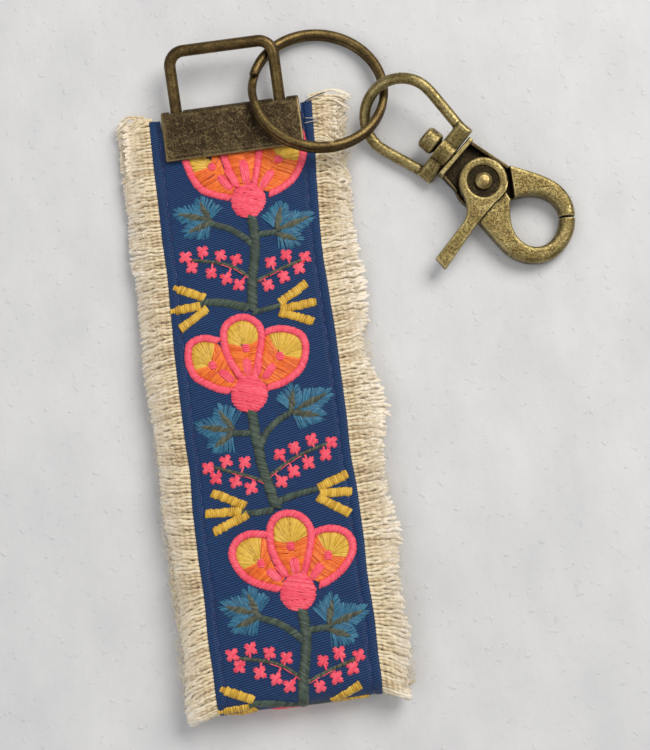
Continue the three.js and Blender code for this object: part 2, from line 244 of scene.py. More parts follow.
def linen_material():
    m = Nodes("linen_canvas")
    lay, (v, s, _) = m.lay()
    warp = wave(m, m.math("MULTIPLY", v, 2 * math.pi / 0.75))
    weft = wave(m, m.math("MULTIPLY", s, 2 * math.pi / 0.72))
    over = wave(m, m.math("MULTIPLY", m.math("ADD", v, s), 2 * math.pi / 1.45))
    slub = m.noise(m.scaled(lay, 0.7, 2.4), 4)
    weave = m.math("MULTIPLY_ADD", over, 0.4, m.math("MULTIPLY", m.math("ADD", warp, weft), 0.5))
    height = m.math("MULTIPLY_ADD", slub, 0.7, weave)
    # Colour follows the weave's height: painted shade in its hollows; the slub adds the linen's own uneven
    # tone.
    colour = m.ramp(m.math("MULTIPLY", height, 0.5), (0.15, srgb(148, 127, 92)), (0.5, srgb(208, 191, 155)),
                    (0.9, srgb(232, 220, 192)))
    return m.done(colour, m.bump(height, 0.16), 0.9, Sheen_Weight=0.2, Specular_IOR_Level=0.2)


def brass_material(name, dark, body, light, patina, speckle, roughness, depth, crevice=1.4, scratches=0.0):
    """Aged brass: near black in its recesses, pitted on its flats, rubbed bright along its edges, with
    fine curly scratches."""
    m = Nodes(name)
    blotch = m.noise(m.place(3.2), 5, 0.6)
    grain = m.noise(m.place(0.5), 4, 0.65)
    pits = m.noise(m.place(0.45), 4, 0.75)
    geometry = m.tree.nodes.new("ShaderNodeNewGeometry")
    worn = m.ramp(geometry.outputs["Pointiness"], (0.47, 0.0), (0.53, 1.0))
    shade = m.math("MULTIPLY_ADD", m.math("SUBTRACT", worn, 0.5), 0.6,
                   m.math("MULTIPLY_ADD", grain, 0.5, m.math("MULTIPLY", blotch, 0.5)))
    colour = m.ramp(shade, (0.22, dark), (0.5, body), (0.84, light))
    flats = m.ramp(worn, (0.35, 1.0), (0.8, 0.25))
    spots = m.math("MULTIPLY", m.ramp(pits, (0.46, 0.0), (0.56, 1.0)), flats)
    colour = m.mix(m.math("MULTIPLY", spots, speckle), colour, patina)
    curls = m.math("ABSOLUTE", m.math("SUBTRACT", m.noise(m.place(2.4), 2, 0.7), 0.5))
    colour = m.mix(m.math("MULTIPLY", m.ramp(curls, (0.0, 1.0), (0.02, 0.0)), scratches), colour, light)
    shelter = m.node("ShaderNodeAmbientOcclusion", Distance=crevice * MM)
    shelter.samples = 8
    colour = m.mix(m.ramp(shelter.outputs["AO"], (0.3, 0.92), (0.8, 0.0)), colour, patina)
    height = m.math("MULTIPLY_ADD", pits, -0.5, m.math("SUBTRACT", grain, m.math("MULTIPLY", spots, 0.5)))
    rough = m.math("MULTIPLY_ADD", m.math("MAXIMUM", grain, spots), roughness[1] - roughness[0], roughness[0])
    return m.done(colour, m.bump(height, depth), rough, Metallic=0.9)


def floor_material():
    m = Nodes("painted_floor")
    strokes = m.noise(m.scaled(m.place(14.0), 1.0, 0.6, 1.0), 6, 0.6)
    flecks = m.noise(m.place(2.2), 3, 0.5)
    tone = m.ramp(strokes, (0.3, srgb(212, 211, 210)), (0.7, srgb(224, 223, 221)))
    height = m.math("MULTIPLY_ADD", m.ramp(flecks, (0.62, 0.0), (0.72, 1.0)), 0.5,
                    m.math("MULTIPLY", strokes, 2.0))
    return m.done(tone, m.bump(height, 0.22), 0.75, Specular_IOR_Level=0.25)


RIBBON = ribbon_material()
YARN = yarn_material()
LINEN = linen_material()
CORAL = thread_material("thread_coral", srgb(206, 40, 66), srgb(255, 84, 106), srgb(255, 132, 146), 0.2)
ORANGE = thread_material("thread_orange", srgb(190, 72, 12), srgb(246, 110, 24), srgb(255, 150, 58), 0.36)
YELLOW = thread_material("thread_yellow", srgb(160, 112, 20), srgb(228, 180, 50), srgb(246, 208, 96), 0.3)
TEAL = thread_material("thread_teal", srgb(10, 48, 80), srgb(30, 100, 132), srgb(76, 148, 174))
OLIVE = thread_material("thread_olive", srgb(36, 40, 30), srgb(76, 80, 60), srgb(114, 116, 90))
STEM = thread_material("thread_stem", srgb(26, 36, 30), srgb(58, 74, 60), srgb(96, 112, 92))
NAVY = thread_material("thread_navy", srgb(8, 18, 60), srgb(18, 36, 96), srgb(48, 70, 132))
WHITE = thread_material("thread_white", srgb(150, 150, 150), srgb(214, 212, 206), srgb(240, 240, 236))
THREADS = [CORAL, ORANGE, YELLOW, TEAL, OLIVE, STEM, NAVY, WHITE]

BRASS = brass_material("antique_brass", srgb(60, 47, 26), srgb(124, 107, 62), srgb(200, 182, 126),
                       srgb(24, 18, 11), speckle=0.85, roughness=(0.2, 0.52), depth=0.03, scratches=0.2)
HOUSING = brass_material("blackened_brass", srgb(20, 15, 9), srgb(46, 37, 22), srgb(120, 102, 64),
                         srgb(10, 8, 5), speckle=0.6, roughness=(0.34, 0.6), depth=0.03)
DARK_BRASS = brass_material("dark_brass", srgb(28, 22, 14), srgb(72, 58, 38), srgb(150, 130, 90),
                            srgb(20, 15, 10), speckle=0.8, roughness=(0.3, 0.64), depth=0.035, scratches=0.55)
RING_BRASS = brass_material("ring_brass", srgb(84, 66, 38), srgb(142, 120, 72), srgb(206, 186, 132),
                            srgb(40, 30, 18), speckle=0.35, roughness=(0.26, 0.48), depth=0.012)


# ---------------------------------------------------------------- mesh helpers
def make_mesh(name, points, faces, lay, materials, slots=None):
    """A smooth mesh of quads from points in mm."""
    mesh = bpy.data.meshes.new(name)
    mesh.from_pydata((np.asarray(points, float) * MM).tolist(), [], np.asarray(faces).tolist())
    attribute = mesh.attributes.new("lay", "FLOAT_VECTOR", "POINT")
    attribute.data.foreach_set("vector", np.asarray(lay, np.float32).ravel())
    for material in materials:
        mesh.materials.append(material)
    if slots is not None:
        mesh.polygons.foreach_set("material_index", np.asarray(slots, np.int32))
    mesh.polygons.foreach_set("use_smooth", np.ones(len(mesh.polygons), bool))
    mesh.update()
    piece = bpy.data.objects.new(name, mesh)
    bpy.context.scene.collection.objects.link(piece)
    return piece


def grid_faces(rows, columns, wrap=False):
    """The quads of a rows x columns grid of points."""
    r, c = np.meshgrid(np.arange(rows - 1), np.arange(columns if wrap else columns - 1), indexing="ij")
    a = r * columns + c
    b = r * columns + (c + 1) % columns
    return np.stack([a, b, b + columns, a + columns], -1).reshape(-1, 4)


def many_grids(count, rows, columns, wrap=False):
    one = grid_faces(rows, columns, wrap)
    return (one[None] + (np.arange(count) * rows * columns)[:, None, None]).reshape(-1, 4)


def tubes(paths, radii, sides, tint):
    """Tubes round many paths at once: paths is (n, k, 3), radii (n, k). Returns points, faces, lay."""
    n, k, _ = paths.shape
    along = np.gradient(paths, axis=1)
    along /= np.linalg.norm(along, axis=2, keepdims=True) + 1e-9
    up = np.zeros_like(along)
    up[..., 2] = 1
    flat = np.abs(along[..., 2:3]) > 0.95
    up = np.where(flat, np.array([0.0, 1.0, 0.0]), up)
    side = np.cross(along, up)
    side /= np.linalg.norm(side, axis=2, keepdims=True) + 1e-9
    top = np.cross(side, along)
    turn = np.linspace(0, 2 * math.pi, sides, endpoint=False)
    ring = (side[:, :, None] * np.cos(turn)[:, None] + top[:, :, None] * np.sin(turn)[:, None])
    points = paths[:, :, None] + ring * radii[:, :, None, None]
    step = np.linalg.norm(np.diff(paths, axis=1), axis=2)
    far = np.concatenate([np.zeros((n, 1)), np.cumsum(step, 1)], 1)
    lay = np.empty((n, k, sides, 3))
    lay[..., 0] = turn
    lay[..., 1] = far[:, :, None]
    lay[..., 2] = np.asarray(tint)[:, None, None]
    return points.reshape(-1, 3), many_grids(n, k, sides, True), lay.reshape(-1, 3)


def smooth_noise(seed, step, size, reach=600.0):
    """A smooth random curve: values up to size, changing over step."""
    local = np.random.RandomState(seed)
    values = local.uniform(-size, size, int(reach / step) + 4)

    def at(x):
        f = np.asarray(x, float) / step + 3
        i = np.clip(np.floor(f).astype(int), 0, len(values) - 2)
        t = np.clip(f - i, 0, 1)
        t = t * t * (3 - 2 * t)
        return values[i] * (1 - t) + values[i + 1] * t

    return at


# ---------------------------------------------------------------- the strap's face
AXIS_X = -1.1
RIBBON_HALF = 18.0
FOLD_Y, FOLD_Z, FOLD_R = -126.5, 4.83, 4.12
LIP_Y = -6.2
TOP_Y = 6.0
BACK_Z = FOLD_Z - FOLD_R
ZONE_Y = -97.0


def strap_profile():
    """The strap's side view: (y, z) points 0.25 mm apart from its front top end to its back top end,
    their distance along it, and the outward normals."""
    turn = np.radians(np.linspace(90, 270, 61))
    fold = np.stack([FOLD_Y + FOLD_R * np.cos(turn), FOLD_Z + FOLD_R * np.sin(turn)], 1)
    front = np.array([[TOP_Y, 3.75], [-4.5, 3.8], [LIP_Y, 3.95], [-8.2, 4.25], [-11.5, 4.6], [-20, 4.98],
                      [-68.2, 6.82]])
    back = np.array([[-12.5, BACK_Z], [-9.0, 0.9], [LIP_Y, 1.15], [-4.5, 1.25], [TOP_Y, 1.3]])
    line = np.concatenate([front, fold, back])
    far = np.concatenate([[0], np.cumsum(np.linalg.norm(np.diff(line, axis=0), axis=1))])
    even = np.arange(0, far[-1], 0.25)
    line = np.stack([np.interp(even, far, line[:, i]) for i in (0, 1)], 1)
    padded = np.pad(line, ((5, 5), (0, 0)), mode="reflect", reflect_type="odd")
    line = sum(padded[i:i + len(line)] for i in range(11)) / 11
    far = np.concatenate([[0], np.cumsum(np.linalg.norm(np.diff(line, axis=0), axis=1))])
    slope = np.gradient(line, axis=0)
    slope /= np.linalg.norm(slope, axis=1, keepdims=True)
    return line, far, np.stack([slope[:, 1], -slope[:, 0]], 1)


LINE, FAR, NORMAL = strap_profile()
half_way = int(np.argmin(LINE[:, 0]))
FAR = FAR - np.interp(-LIP_Y, -LINE[:half_way, 0], FAR[:half_way])


def distance_at(y, back=False):
    if back:
        return float(np.interp(y, LINE[half_way:, 0], FAR[half_way:]))
    return float(np.interp(-y, -LINE[:half_way, 0], FAR[:half_way]))


S_TOP, S_END = float(FAR[0]), float(FAR[-1])
S_TIP = float(FAR[half_way])
S_FRONT, S_BACK = distance_at(ZONE_Y), distance_at(ZONE_Y, True)
S_BACK_LIP = distance_at(LIP_Y, True)
BAR_EDGE = 7.2
BAR_HALF = 15.5
SEAM_V = 15.9
edge_wobble = smooth_noise(11, 9.0, 0.22)


def skin(s, v, h):
    """The point at distance s along the strap and v across it, h proud of its face."""
    y, z = np.interp(s, FAR, LINE[:, 0]), np.interp(s, FAR, LINE[:, 1])
    ny, nz = np.interp(s, FAR, NORMAL[:, 0]), np.interp(s, FAR, NORMAL[:, 1])
    flare = np.interp(y, [-26, -16, TOP_Y], [0, 0.66, 2.2])
    x = AXIS_X + v + np.maximum(v, 0) / RIBBON_HALF * flare + edge_wobble(s) * v / RIBBON_HALF
    calm = np.interp(y, [-9, -20], [0.0, 1.0]) * np.where(s > S_TIP, 0.45, 1.0)
    ripple = (0.13 * np.sin(0.31 * s + 1.3 * np.sin(0.21 * v)) * np.cos(0.27 * v + 0.5)
              + 0.06 * np.sin(0.83 * s + 0.37 * v) + 0.05 * np.sin(1.1 * v - 0.45 * s))
    h = h + ripple * calm
    return np.stack([x, y + ny * h, z + nz * h], -1)


# ---------------------------------------------------------------- embroidery
class Stitching:
    """Collects stitches, each a raised strip of thread from one place on the strap to another."""

    def __init__(self):
        self.rows = []
        self.threads = []

    def stitch(self, thread, start, end, width, height, bow=0.0):
        """height is one number, or (at the start, in the middle, at the end)."""
        low, middle, high = height if hasattr(height, "__len__") else (height * 0.75, height, height * 0.75)
        self.rows.append([*start, *end, width, low, middle, high, bow])
        self.threads.append(THREADS.index(thread))

    def clear_of_ends(self):
        """Drops the stitches off the ribbon's ends, and those over the clamp's foot bar."""
        kept = []
        for row, thread in zip(self.rows, self.threads):
            low, high = min(row[1], row[3]), max(row[1], row[3])
            over_bar = low < -BAR_EDGE or high > S_BACK_LIP + BAR_EDGE
            if S_TOP + 1 < low and high < S_END - 1 and not (over_bar and abs(row[0]) < BAR_HALF):
                kept.append((row, thread))
        self.rows, self.threads = (list(part) for part in zip(*kept))

    def pieces(self, spans):
        """One mesh for each (name, s from, s to)."""
        rows, threads = np.array(self.rows), np.array(self.threads)
        tint = rng.uniform(0, 1, len(rows))
        middle = (rows[:, 1] + rows[:, 3]) / 2
        made = {}
        for name, low, high in spans:
            chosen = (middle >= low) & (middle < high)
            if chosen.any():
                made[name] = self.mesh(name, rows[chosen], threads[chosen], tint[chosen])
        return made

    def mesh(self, name, rows, threads, tint):
        t = np.array([0.0, 0.07, 0.25, 0.5, 0.75, 0.93, 1.0])
        c = np.array([-1.0, -0.72, 0.0, 0.72, 1.0])
        start, end = rows[:, None, 0:2], rows[:, None, 2:4]
        width, low, middle, high, bow = (rows[:, i, None] for i in range(4, 9))
        gap = end - start
        length = np.linalg.norm(gap, axis=2, keepdims=True) + 1e-6
        normal = np.concatenate([-gap[..., 1:], gap[..., :1]], 2) / length
        centre = start + gap * t[:, None] + normal * (bow * np.sin(math.pi * t))[..., None]
        arch = 4 * t * (1 - t)
        height = low * (1 - t) + high * t + (middle - (low + high) / 2) * arch
        dip = np.array([1.0, 0.3, 0, 0, 0, 0.3, 1.0])
        height = height - dip * (height + 0.12)
        thin = 1 - 0.45 * dip ** 2
        across = c * (width * thin)[..., None] / 2
        drop = np.array([0.62, 0.27, 0.0, 0.27, 0.62])
        place = centre[:, :, None] + normal[:, :, None] * across[..., None]
        raised = height[..., None] - drop * width[..., None]
        flat = np.where(place[..., 1] > S_TIP, 0.8, 1.0)
        points = skin(place[..., 1], place[..., 0], raised * flat)
        lay = np.empty(points.shape)
        lay[..., 0] = across
        lay[..., 1] = (length[..., 0] * t)[..., None]
        lay[..., 2] = tint[:, None, None]
        faces = many_grids(len(rows), len(t), len(c))
        slots = np.repeat(threads, (len(t) - 1) * (len(c) - 1))
        return make_mesh(name, points.reshape(-1, 3), faces, lay.reshape(-1, 3), THREADS, slots)


def distances(path):
    """How far along the path each of its points is."""
    return np.concatenate([[0], np.cumsum(np.linalg.norm(np.diff(path, axis=0), axis=1))])


def resampled(path, count):
    """The path as count points, spaced evenly."""
    p = np.asarray(path, float)
    far = distances(p)
    at = np.linspace(0, far[-1], count)
    return np.stack([np.interp(at, far, p[:, i]) for i in (0, 1)], 1)


def directions(path):
    """The way the path goes at each of its points, as unit vectors."""
    slope = np.gradient(path, axis=0)
    return slope / (np.linalg.norm(slope, axis=1, keepdims=True) + 1e-9)


def eased(points, step):
    """Points rounded off and then spaced evenly, step apart."""
    p = np.asarray(points, float)
    if len(p) > 2:
        for _ in range(3):
            q, r = p[:-1] * 0.75 + p[1:] * 0.25, p[:-1] * 0.25 + p[1:] * 0.75
            p = np.concatenate([p[:1], np.stack([q, r], 1).reshape(-1, 2), p[-1:]])
    return resampled(p, max(2, int(round(distances(p)[-1] / step)) + 1))


def inset(path, depth, towards):
    """The path moved sideways by depth, on the side where towards is."""
    slope = directions(path)
    normal = np.stack([-slope[:, 1], slope[:, 0]], 1)
    side = np.sign(((np.asarray(towards) - path) * normal).sum(1).sum())
    return path + normal * side * depth


work = Stitching()


class Motif:
    """One flower and its stem, placed with its ball at (v, s); grow is its length along the strap, and
    stretch that of its petals' outer ends."""

    def __init__(self, v, s, grow, stretch):
        self.v, self.s, self.grow, self.stretch = v, s, grow, stretch

    def at(self, points):
        p = np.asarray(points, float)
        outer = np.stack([0 * p[..., 0], np.minimum(p[..., 1] + 4, 0) * (self.stretch - 1)], -1)
        return (p + outer) * [1, self.grow] + [self.v, self.s]

    def band(self, thread, points, width, pitch, slant, height, strand=1.5, fray=0.07):
        """Satin stitches side by side across a path; width is one number or (at the start, at the end)."""
        path = eased(self.at(points), pitch)
        wide = width if hasattr(width, "__len__") else (width, width)
        for i, (p, along) in enumerate(zip(path, directions(path))):
            normal = np.array([-along[1], along[0]])
            w = wide[0] + (wide[1] - wide[0]) * i / max(1, len(path) - 1)
            a, b = (w / 2 * (1 + rng.uniform(-fray, fray)) for _ in range(2))
            lean = along * (slant / 2 + rng.uniform(-0.05, 0.05))
            work.stitch(thread, p + normal * a - lean, p - normal * b + lean, pitch * strand, height)

    def rod(self, thread, points, width, height):
        """A fat bundle of long strands laid side by side."""
        start, end = self.at(points)
        along = (end - start) / np.linalg.norm(end - start)
        normal = np.array([-along[1], along[0]])
        strands = max(2, int(round(width / 0.42)))
        for i in range(strands):
            off = ((i + 0.5) / strands - 0.5) * width * 0.9
            trim = 0.35 * abs(off) / width * 2
            shift = rng.uniform(-0.12, 0.12)
            work.stitch(thread, start + normal * off + along * (trim + shift),
                        end + normal * off * 0.8 - along * (trim - shift), 0.62,
                        height - 0.5 * (off / width) ** 2, bow=rng.uniform(-0.06, 0.06))

    def ball(self, radius):
        angle = math.radians(rng.uniform(14, 22))
        along = np.array([math.cos(angle), math.sin(angle)])
        down = np.array([-along[1], along[0]])
        middle = self.at([0, 0])

        def dome(x, d):
            return 0.28 + 0.42 * math.sqrt(max(0.0, 1 - (x * x + d * d) / radius ** 2))

        for d in np.arange(-radius + 0.18, radius - 0.1, 0.27):
            reach = math.sqrt(radius ** 2 - d * d)
            left, right = -reach + rng.uniform(-0.2, 0.12), reach + rng.uniform(-0.12, 0.2)
            cuts = [left, right]
            if reach > 2 and rng.uniform() < 0.3:
                cuts.insert(1, rng.uniform(-0.6, 0.6) * reach)
            for a, b in zip(cuts[:-1], cuts[1:]):
                a, b = a - 0.15 * (a != left), b + 0.15 * (b != right)
                ends = [middle + along * x + down * (d + rng.uniform(-0.05, 0.05)) for x in (a, b)]
                work.stitch(CORAL, *ends, 0.44, (dome(a, d), dome((a + b) / 2, d) + 0.04, dome(b, d)))

    def petal(self, edge, inner, anther, base, fan):
        """edge is the outside edge, inner the rest of the way round; fan is the angles, in degrees
        about the anther, between which the filling is yellow."""
        heart, root = self.at(anther), self.at(base)
        outer = eased(self.at(edge), 0.27)
        centre = inset(outer, 0.8, heart)
        rim = eased(np.concatenate([inset(outer, 1.5, heart)[::7], self.at(inner)]), 0.36)
        axis = heart - root
        for p in rim:
            away = p - heart
            angle = math.degrees(math.atan2(away[1], away[0]))
            yellow = (angle - fan[0]) % 360 < fan[1] - fan[0]
            along = float((p - root) @ axis / (axis @ axis))
            if yellow:
                goal = heart + away / np.linalg.norm(away) * rng.uniform(0.7, 1.6)
                work.stitch(YELLOW, p + away * 0.02, goal, 0.5, (0.3, 0.38, 0.14), bow=rng.uniform(-0.1, 0.1))
                continue
            slid = min(max(along - 0.07, 0.0), 1.0)
            goal = root + axis * slid + rng.uniform(-0.15, 0.15, 2)
            if np.linalg.norm(goal - p) > 0.9:
                outwards = (p - goal) / np.linalg.norm(p - goal)
                work.stitch(ORANGE, p + outwards * 0.15, goal + outwards * 0.1, 0.52, (0.3, 0.4, 0.26),
                            bow=rng.uniform(-0.12, 0.12))
        across = np.array([-axis[1], axis[0]]) / np.linalg.norm(axis)
        for u in np.arange(0.05, 1.3, 0.4 / np.linalg.norm(axis)):
            place = root + axis * u
            work.stitch(ORANGE if u < 1.05 else YELLOW, place - across, place + across, 0.56, 0.25)
        for p, t in zip(centre, directions(centre)):
            normal = np.array([-t[1], t[0]])
            a, b = (0.84 + rng.uniform(-0.08, 0.08) for _ in range(2))
            lean = t * rng.uniform(0.4, 0.55)
            work.stitch(CORAL, p + normal * a - lean, p - normal * b + lean, 0.46, 0.46)
        for d in (-0.75, -0.3, 0.15, 0.6):
            reach = math.sqrt(max(0.2, 1.2 - d * d))
            work.stitch(CORAL, heart + [-reach, d], heart + [reach, d + 0.1], 0.6, 0.58)

    def leaf(self, veins, spread):
        """Feathery strands off both sides of each vein and between neighbouring veins, with the veins on
        top. spread is the strands' length in mm on the vein's first and second side."""
        for base, tip in veins:
            start, end = self.at(base), self.at(tip)
            long = np.linalg.norm(end - start)
            along = (end - start) / long
            for side, reach in zip((1, -1), spread):
                count = int(long / 0.22) + 4
                for i in range(count):
                    u = i / (count - 1)
                    turn = side * math.radians(60 - 38 * u + rng.uniform(-5, 5))
                    cos, sin = math.cos(turn), math.sin(turn)
                    way = np.array([along[0] * cos - along[1] * sin, along[0] * sin + along[1] * cos])
                    out = np.array([-along[1], along[0]]) * side * 0.3 * (1 - u)
                    length = reach * (1.5 - 0.72 * u) * rng.uniform(0.9, 1.08)
                    foot = start + along * long * u + out
                    work.stitch(TEAL, foot, foot + way * length, 0.4, (0.34, 0.3, 0.16),
                                bow=side * rng.uniform(-0.22, 0.05))
        reaches = [(self.at(base), self.at(tip) - self.at(base)) for base, tip in veins]
        for (foot, a), (_, b) in itertools.combinations(reaches, 2):
            long, other = np.linalg.norm(a), np.linalg.norm(b)
            if a @ b < 0.15 * long * other:
                continue
            for u in np.linspace(0.1, 0.9, 14):
                way = a * (1 - u) + b * u
                way *= (long * (1 - u) + other * u) * rng.uniform(0.8, 0.95) / np.linalg.norm(way)
                work.stitch(TEAL, foot + way * 0.3, foot + way, 0.42, (0.3, 0.28, 0.16))
        for base, tip in veins:
            start, end = np.asarray(base, float), np.asarray(tip, float)
            for part, width in (((0.0, 0.5), (1.1, 2.4)), ((0.5, 0.97), (2.4, 0.8))):
                ends = [start + (end - start) * u for u in part]
                self.band(OLIVE, ends, width, 0.34, 1.5, 0.45, fray=0.16)

    def berry(self, place):
        """A diagonal cross of two short bundles, each pinched in where they cross."""
        middle = self.at(place)
        turn = math.pi / 4 + rng.uniform(-0.25, 0.25)
        size = rng.uniform(1.65, 1.9)
        for quarter in (0, 1):
            angle = turn + quarter * math.pi / 2
            along = np.array([math.cos(angle), math.sin(angle)])
            across = np.array([-along[1], along[0]])
            for off, reach in ((-0.42, 0.86), (0.0, 1.0), (0.42, 0.86)):
                a, b = (along * size * reach * rng.uniform(0.92, 1.05) for _ in range(2))
                work.stitch(CORAL, middle + across * off - a, middle + across * off + b, 0.52,
                            0.42 + 0.12 * quarter, bow=-0.3 * off)

    def sprig(self, stalk, berries):
        self.band(OLIVE, stalk, (0.9, 0.7), 0.42, 0.6, 0.4)
        path = eased(self.at(stalk), 0.5)
        for i in range(0, len(path) // 2, 6):
            work.stitch(CORAL, path[i] + [0, 0.45], path[i + 6] + [0, 0.3], 0.2, 0.42)
        for place in berries:
            middle = self.at(place)
            near = path[np.argmin(np.linalg.norm(path - middle, axis=1))]
            if np.linalg.norm(near - middle) > 1.4:
                work.stitch(CORAL, middle, near, 0.5, 0.34)
            self.berry(place)

    def bar(self, start, end, knot):
        self.band(YELLOW, [start, end], 2.1, 0.5, 0.2, 0.55, strand=1.5, fray=0.12)
        if knot:
            a, b = np.asarray(start, float), np.asarray(end, float)
            out = (a - b) / np.linalg.norm(a - b)
            self.band(YELLOW, [a + out * 0.6, a + out * 1.2], 1.4, 0.5, 0.1, 0.4)


# Places in mm from each flower's ball: first across the strap, then along it.
FLOWER_A = dict(
    radius=4.1,
    petals=[
        dict(edge=[(-4.2, -0.4), (-7.7, -1.6), (-11.1, -3.4), (-13.1, -6.1), (-14.1, -9.1), (-13.6, -11.4),
                   (-12.1, -13.3), (-9.7, -14.3), (-7.4, -14.3), (-5.0, -13.6)],
             inner=[(-5.4, -12.4), (-5.6, -9.8), (-4.8, -6.6), (-3.6, -3.4)],
             anther=(-7.2, -7.0), base=(-3.0, -2.6), fan=(172, 278)),
        dict(edge=[(5.2, -0.2), (7.6, -0.9), (10.9, -2.9), (13.4, -6.0), (13.9, -8.8), (12.9, -11.4),
                   (10.6, -12.9), (7.6, -13.4), (5.0, -12.8)],
             inner=[(5.2, -11.6), (4.4, -8.8), (3.2, -5.8), (2.5, -3.4)],
             anther=(7.4, -6.8), base=(3.2, -2.4), fan=(250, 372)),
        dict(edge=[(-3.0, -3.4), (-4.7, -7.0), (-5.5, -10.2), (-5.3, -13.4), (-4.7, -15.5), (-3.2, -17.1),
                   (-1.0, -17.8), (1.4, -17.5), (3.7, -16), (5.1, -13.7), (5.2, -11.2), (4.1, -7.4),
                   (2.5, -3.4)],
             inner=[(0.8, -4.4), (-1.2, -4.4)],
             anther=(-0.4, -9.8), base=(0.0, -3.6), fan=(208, 332)),
    ],
    rods=[((-6.1, -5.7), (-3.3, -2.6), 1.6), ((-3.9, -6.6), (-1.9, -3.4), 1.6),
          ((-0.1, -7.6), (0.1, -3.3), 1.8), ((3.3, -7.1), (1.8, -3.3), 0.9), ((6.1, -5.5), (3.0, -2.0), 1.6)],
    stem=[(0.3, 3.9), (0.6, 7.2), (0.4, 10.6), (-0.2, 13.9), (-1.1, 17.2), (-1.6, 20.6), (-2.1, 25.2)],
    branches=[([(-0.1, 10.2), (-2.7, 7.6), (-5.4, 5.6), (-8.1, 4.6), (-10.1, 3.7)], (1.7, 1.4)),
              ([(1.0, 8.2), (3.3, 8.1), (5.6, 8.1)], (1.5, 1.4))],
    leaves=[
            ([((-10.1, 3.2), (-15.7, 1.1)), ((-9.4, 3.6), (-10.7, -0.8)), ((-9.1, 4.1), (-13.9, 5.4))],
             (2.9, 2.6)),
            ([((5.6, 7.2), (7.1, 2.9)), ((6.1, 7.6), (12.9, 5.8)), ((5.9, 8.6), (9.6, 10.6))], (2.6, 2.9))],
    sprigs=[([(-1.1, 18.6), (-3.7, 15.9), (-6.4, 14.2), (-9.7, 13.1), (-14.1, 12.1)],
             [(-15.8, 11.2), (-11.7, 10.4), (-7.8, 11.8), (-4.3, 13.3), (-14.6, 13.8), (-10.4, 15.6),
              (-7.1, 17.3), (-4.4, 19.1)]),
            ([(-0.1, 18.7), (2.9, 17.6), (5.9, 16.6), (9.6, 15.6), (11.1, 15.2)],
             [(3.4, 14.9), (7.1, 13.7), (11.3, 14.8), (9.6, 17.2), (5.9, 18.7), (2.1, 20.1)])],
    forks=[([(-2.9, 24.6), (-8.9, 22.4), (-13.4, 22.0)], (2.2, 1.7)),
           ([(-1.8, 25.8), (4.1, 25.0)], (1.3, 1.1))],
    bars=[((-18.0, 18.4), (-12.7, 20.9), True), ((-19.0, 23.0), (-13.9, 22.7), True),
          ((-18.4, 27.2), (-12.4, 23.6), False), ((10.5, 20.9), (4.4, 24.3), False),
          ((12.0, 25.3), (4.4, 25.9), False), ((10.8, 29.5), (4.1, 26.6), False)],
)
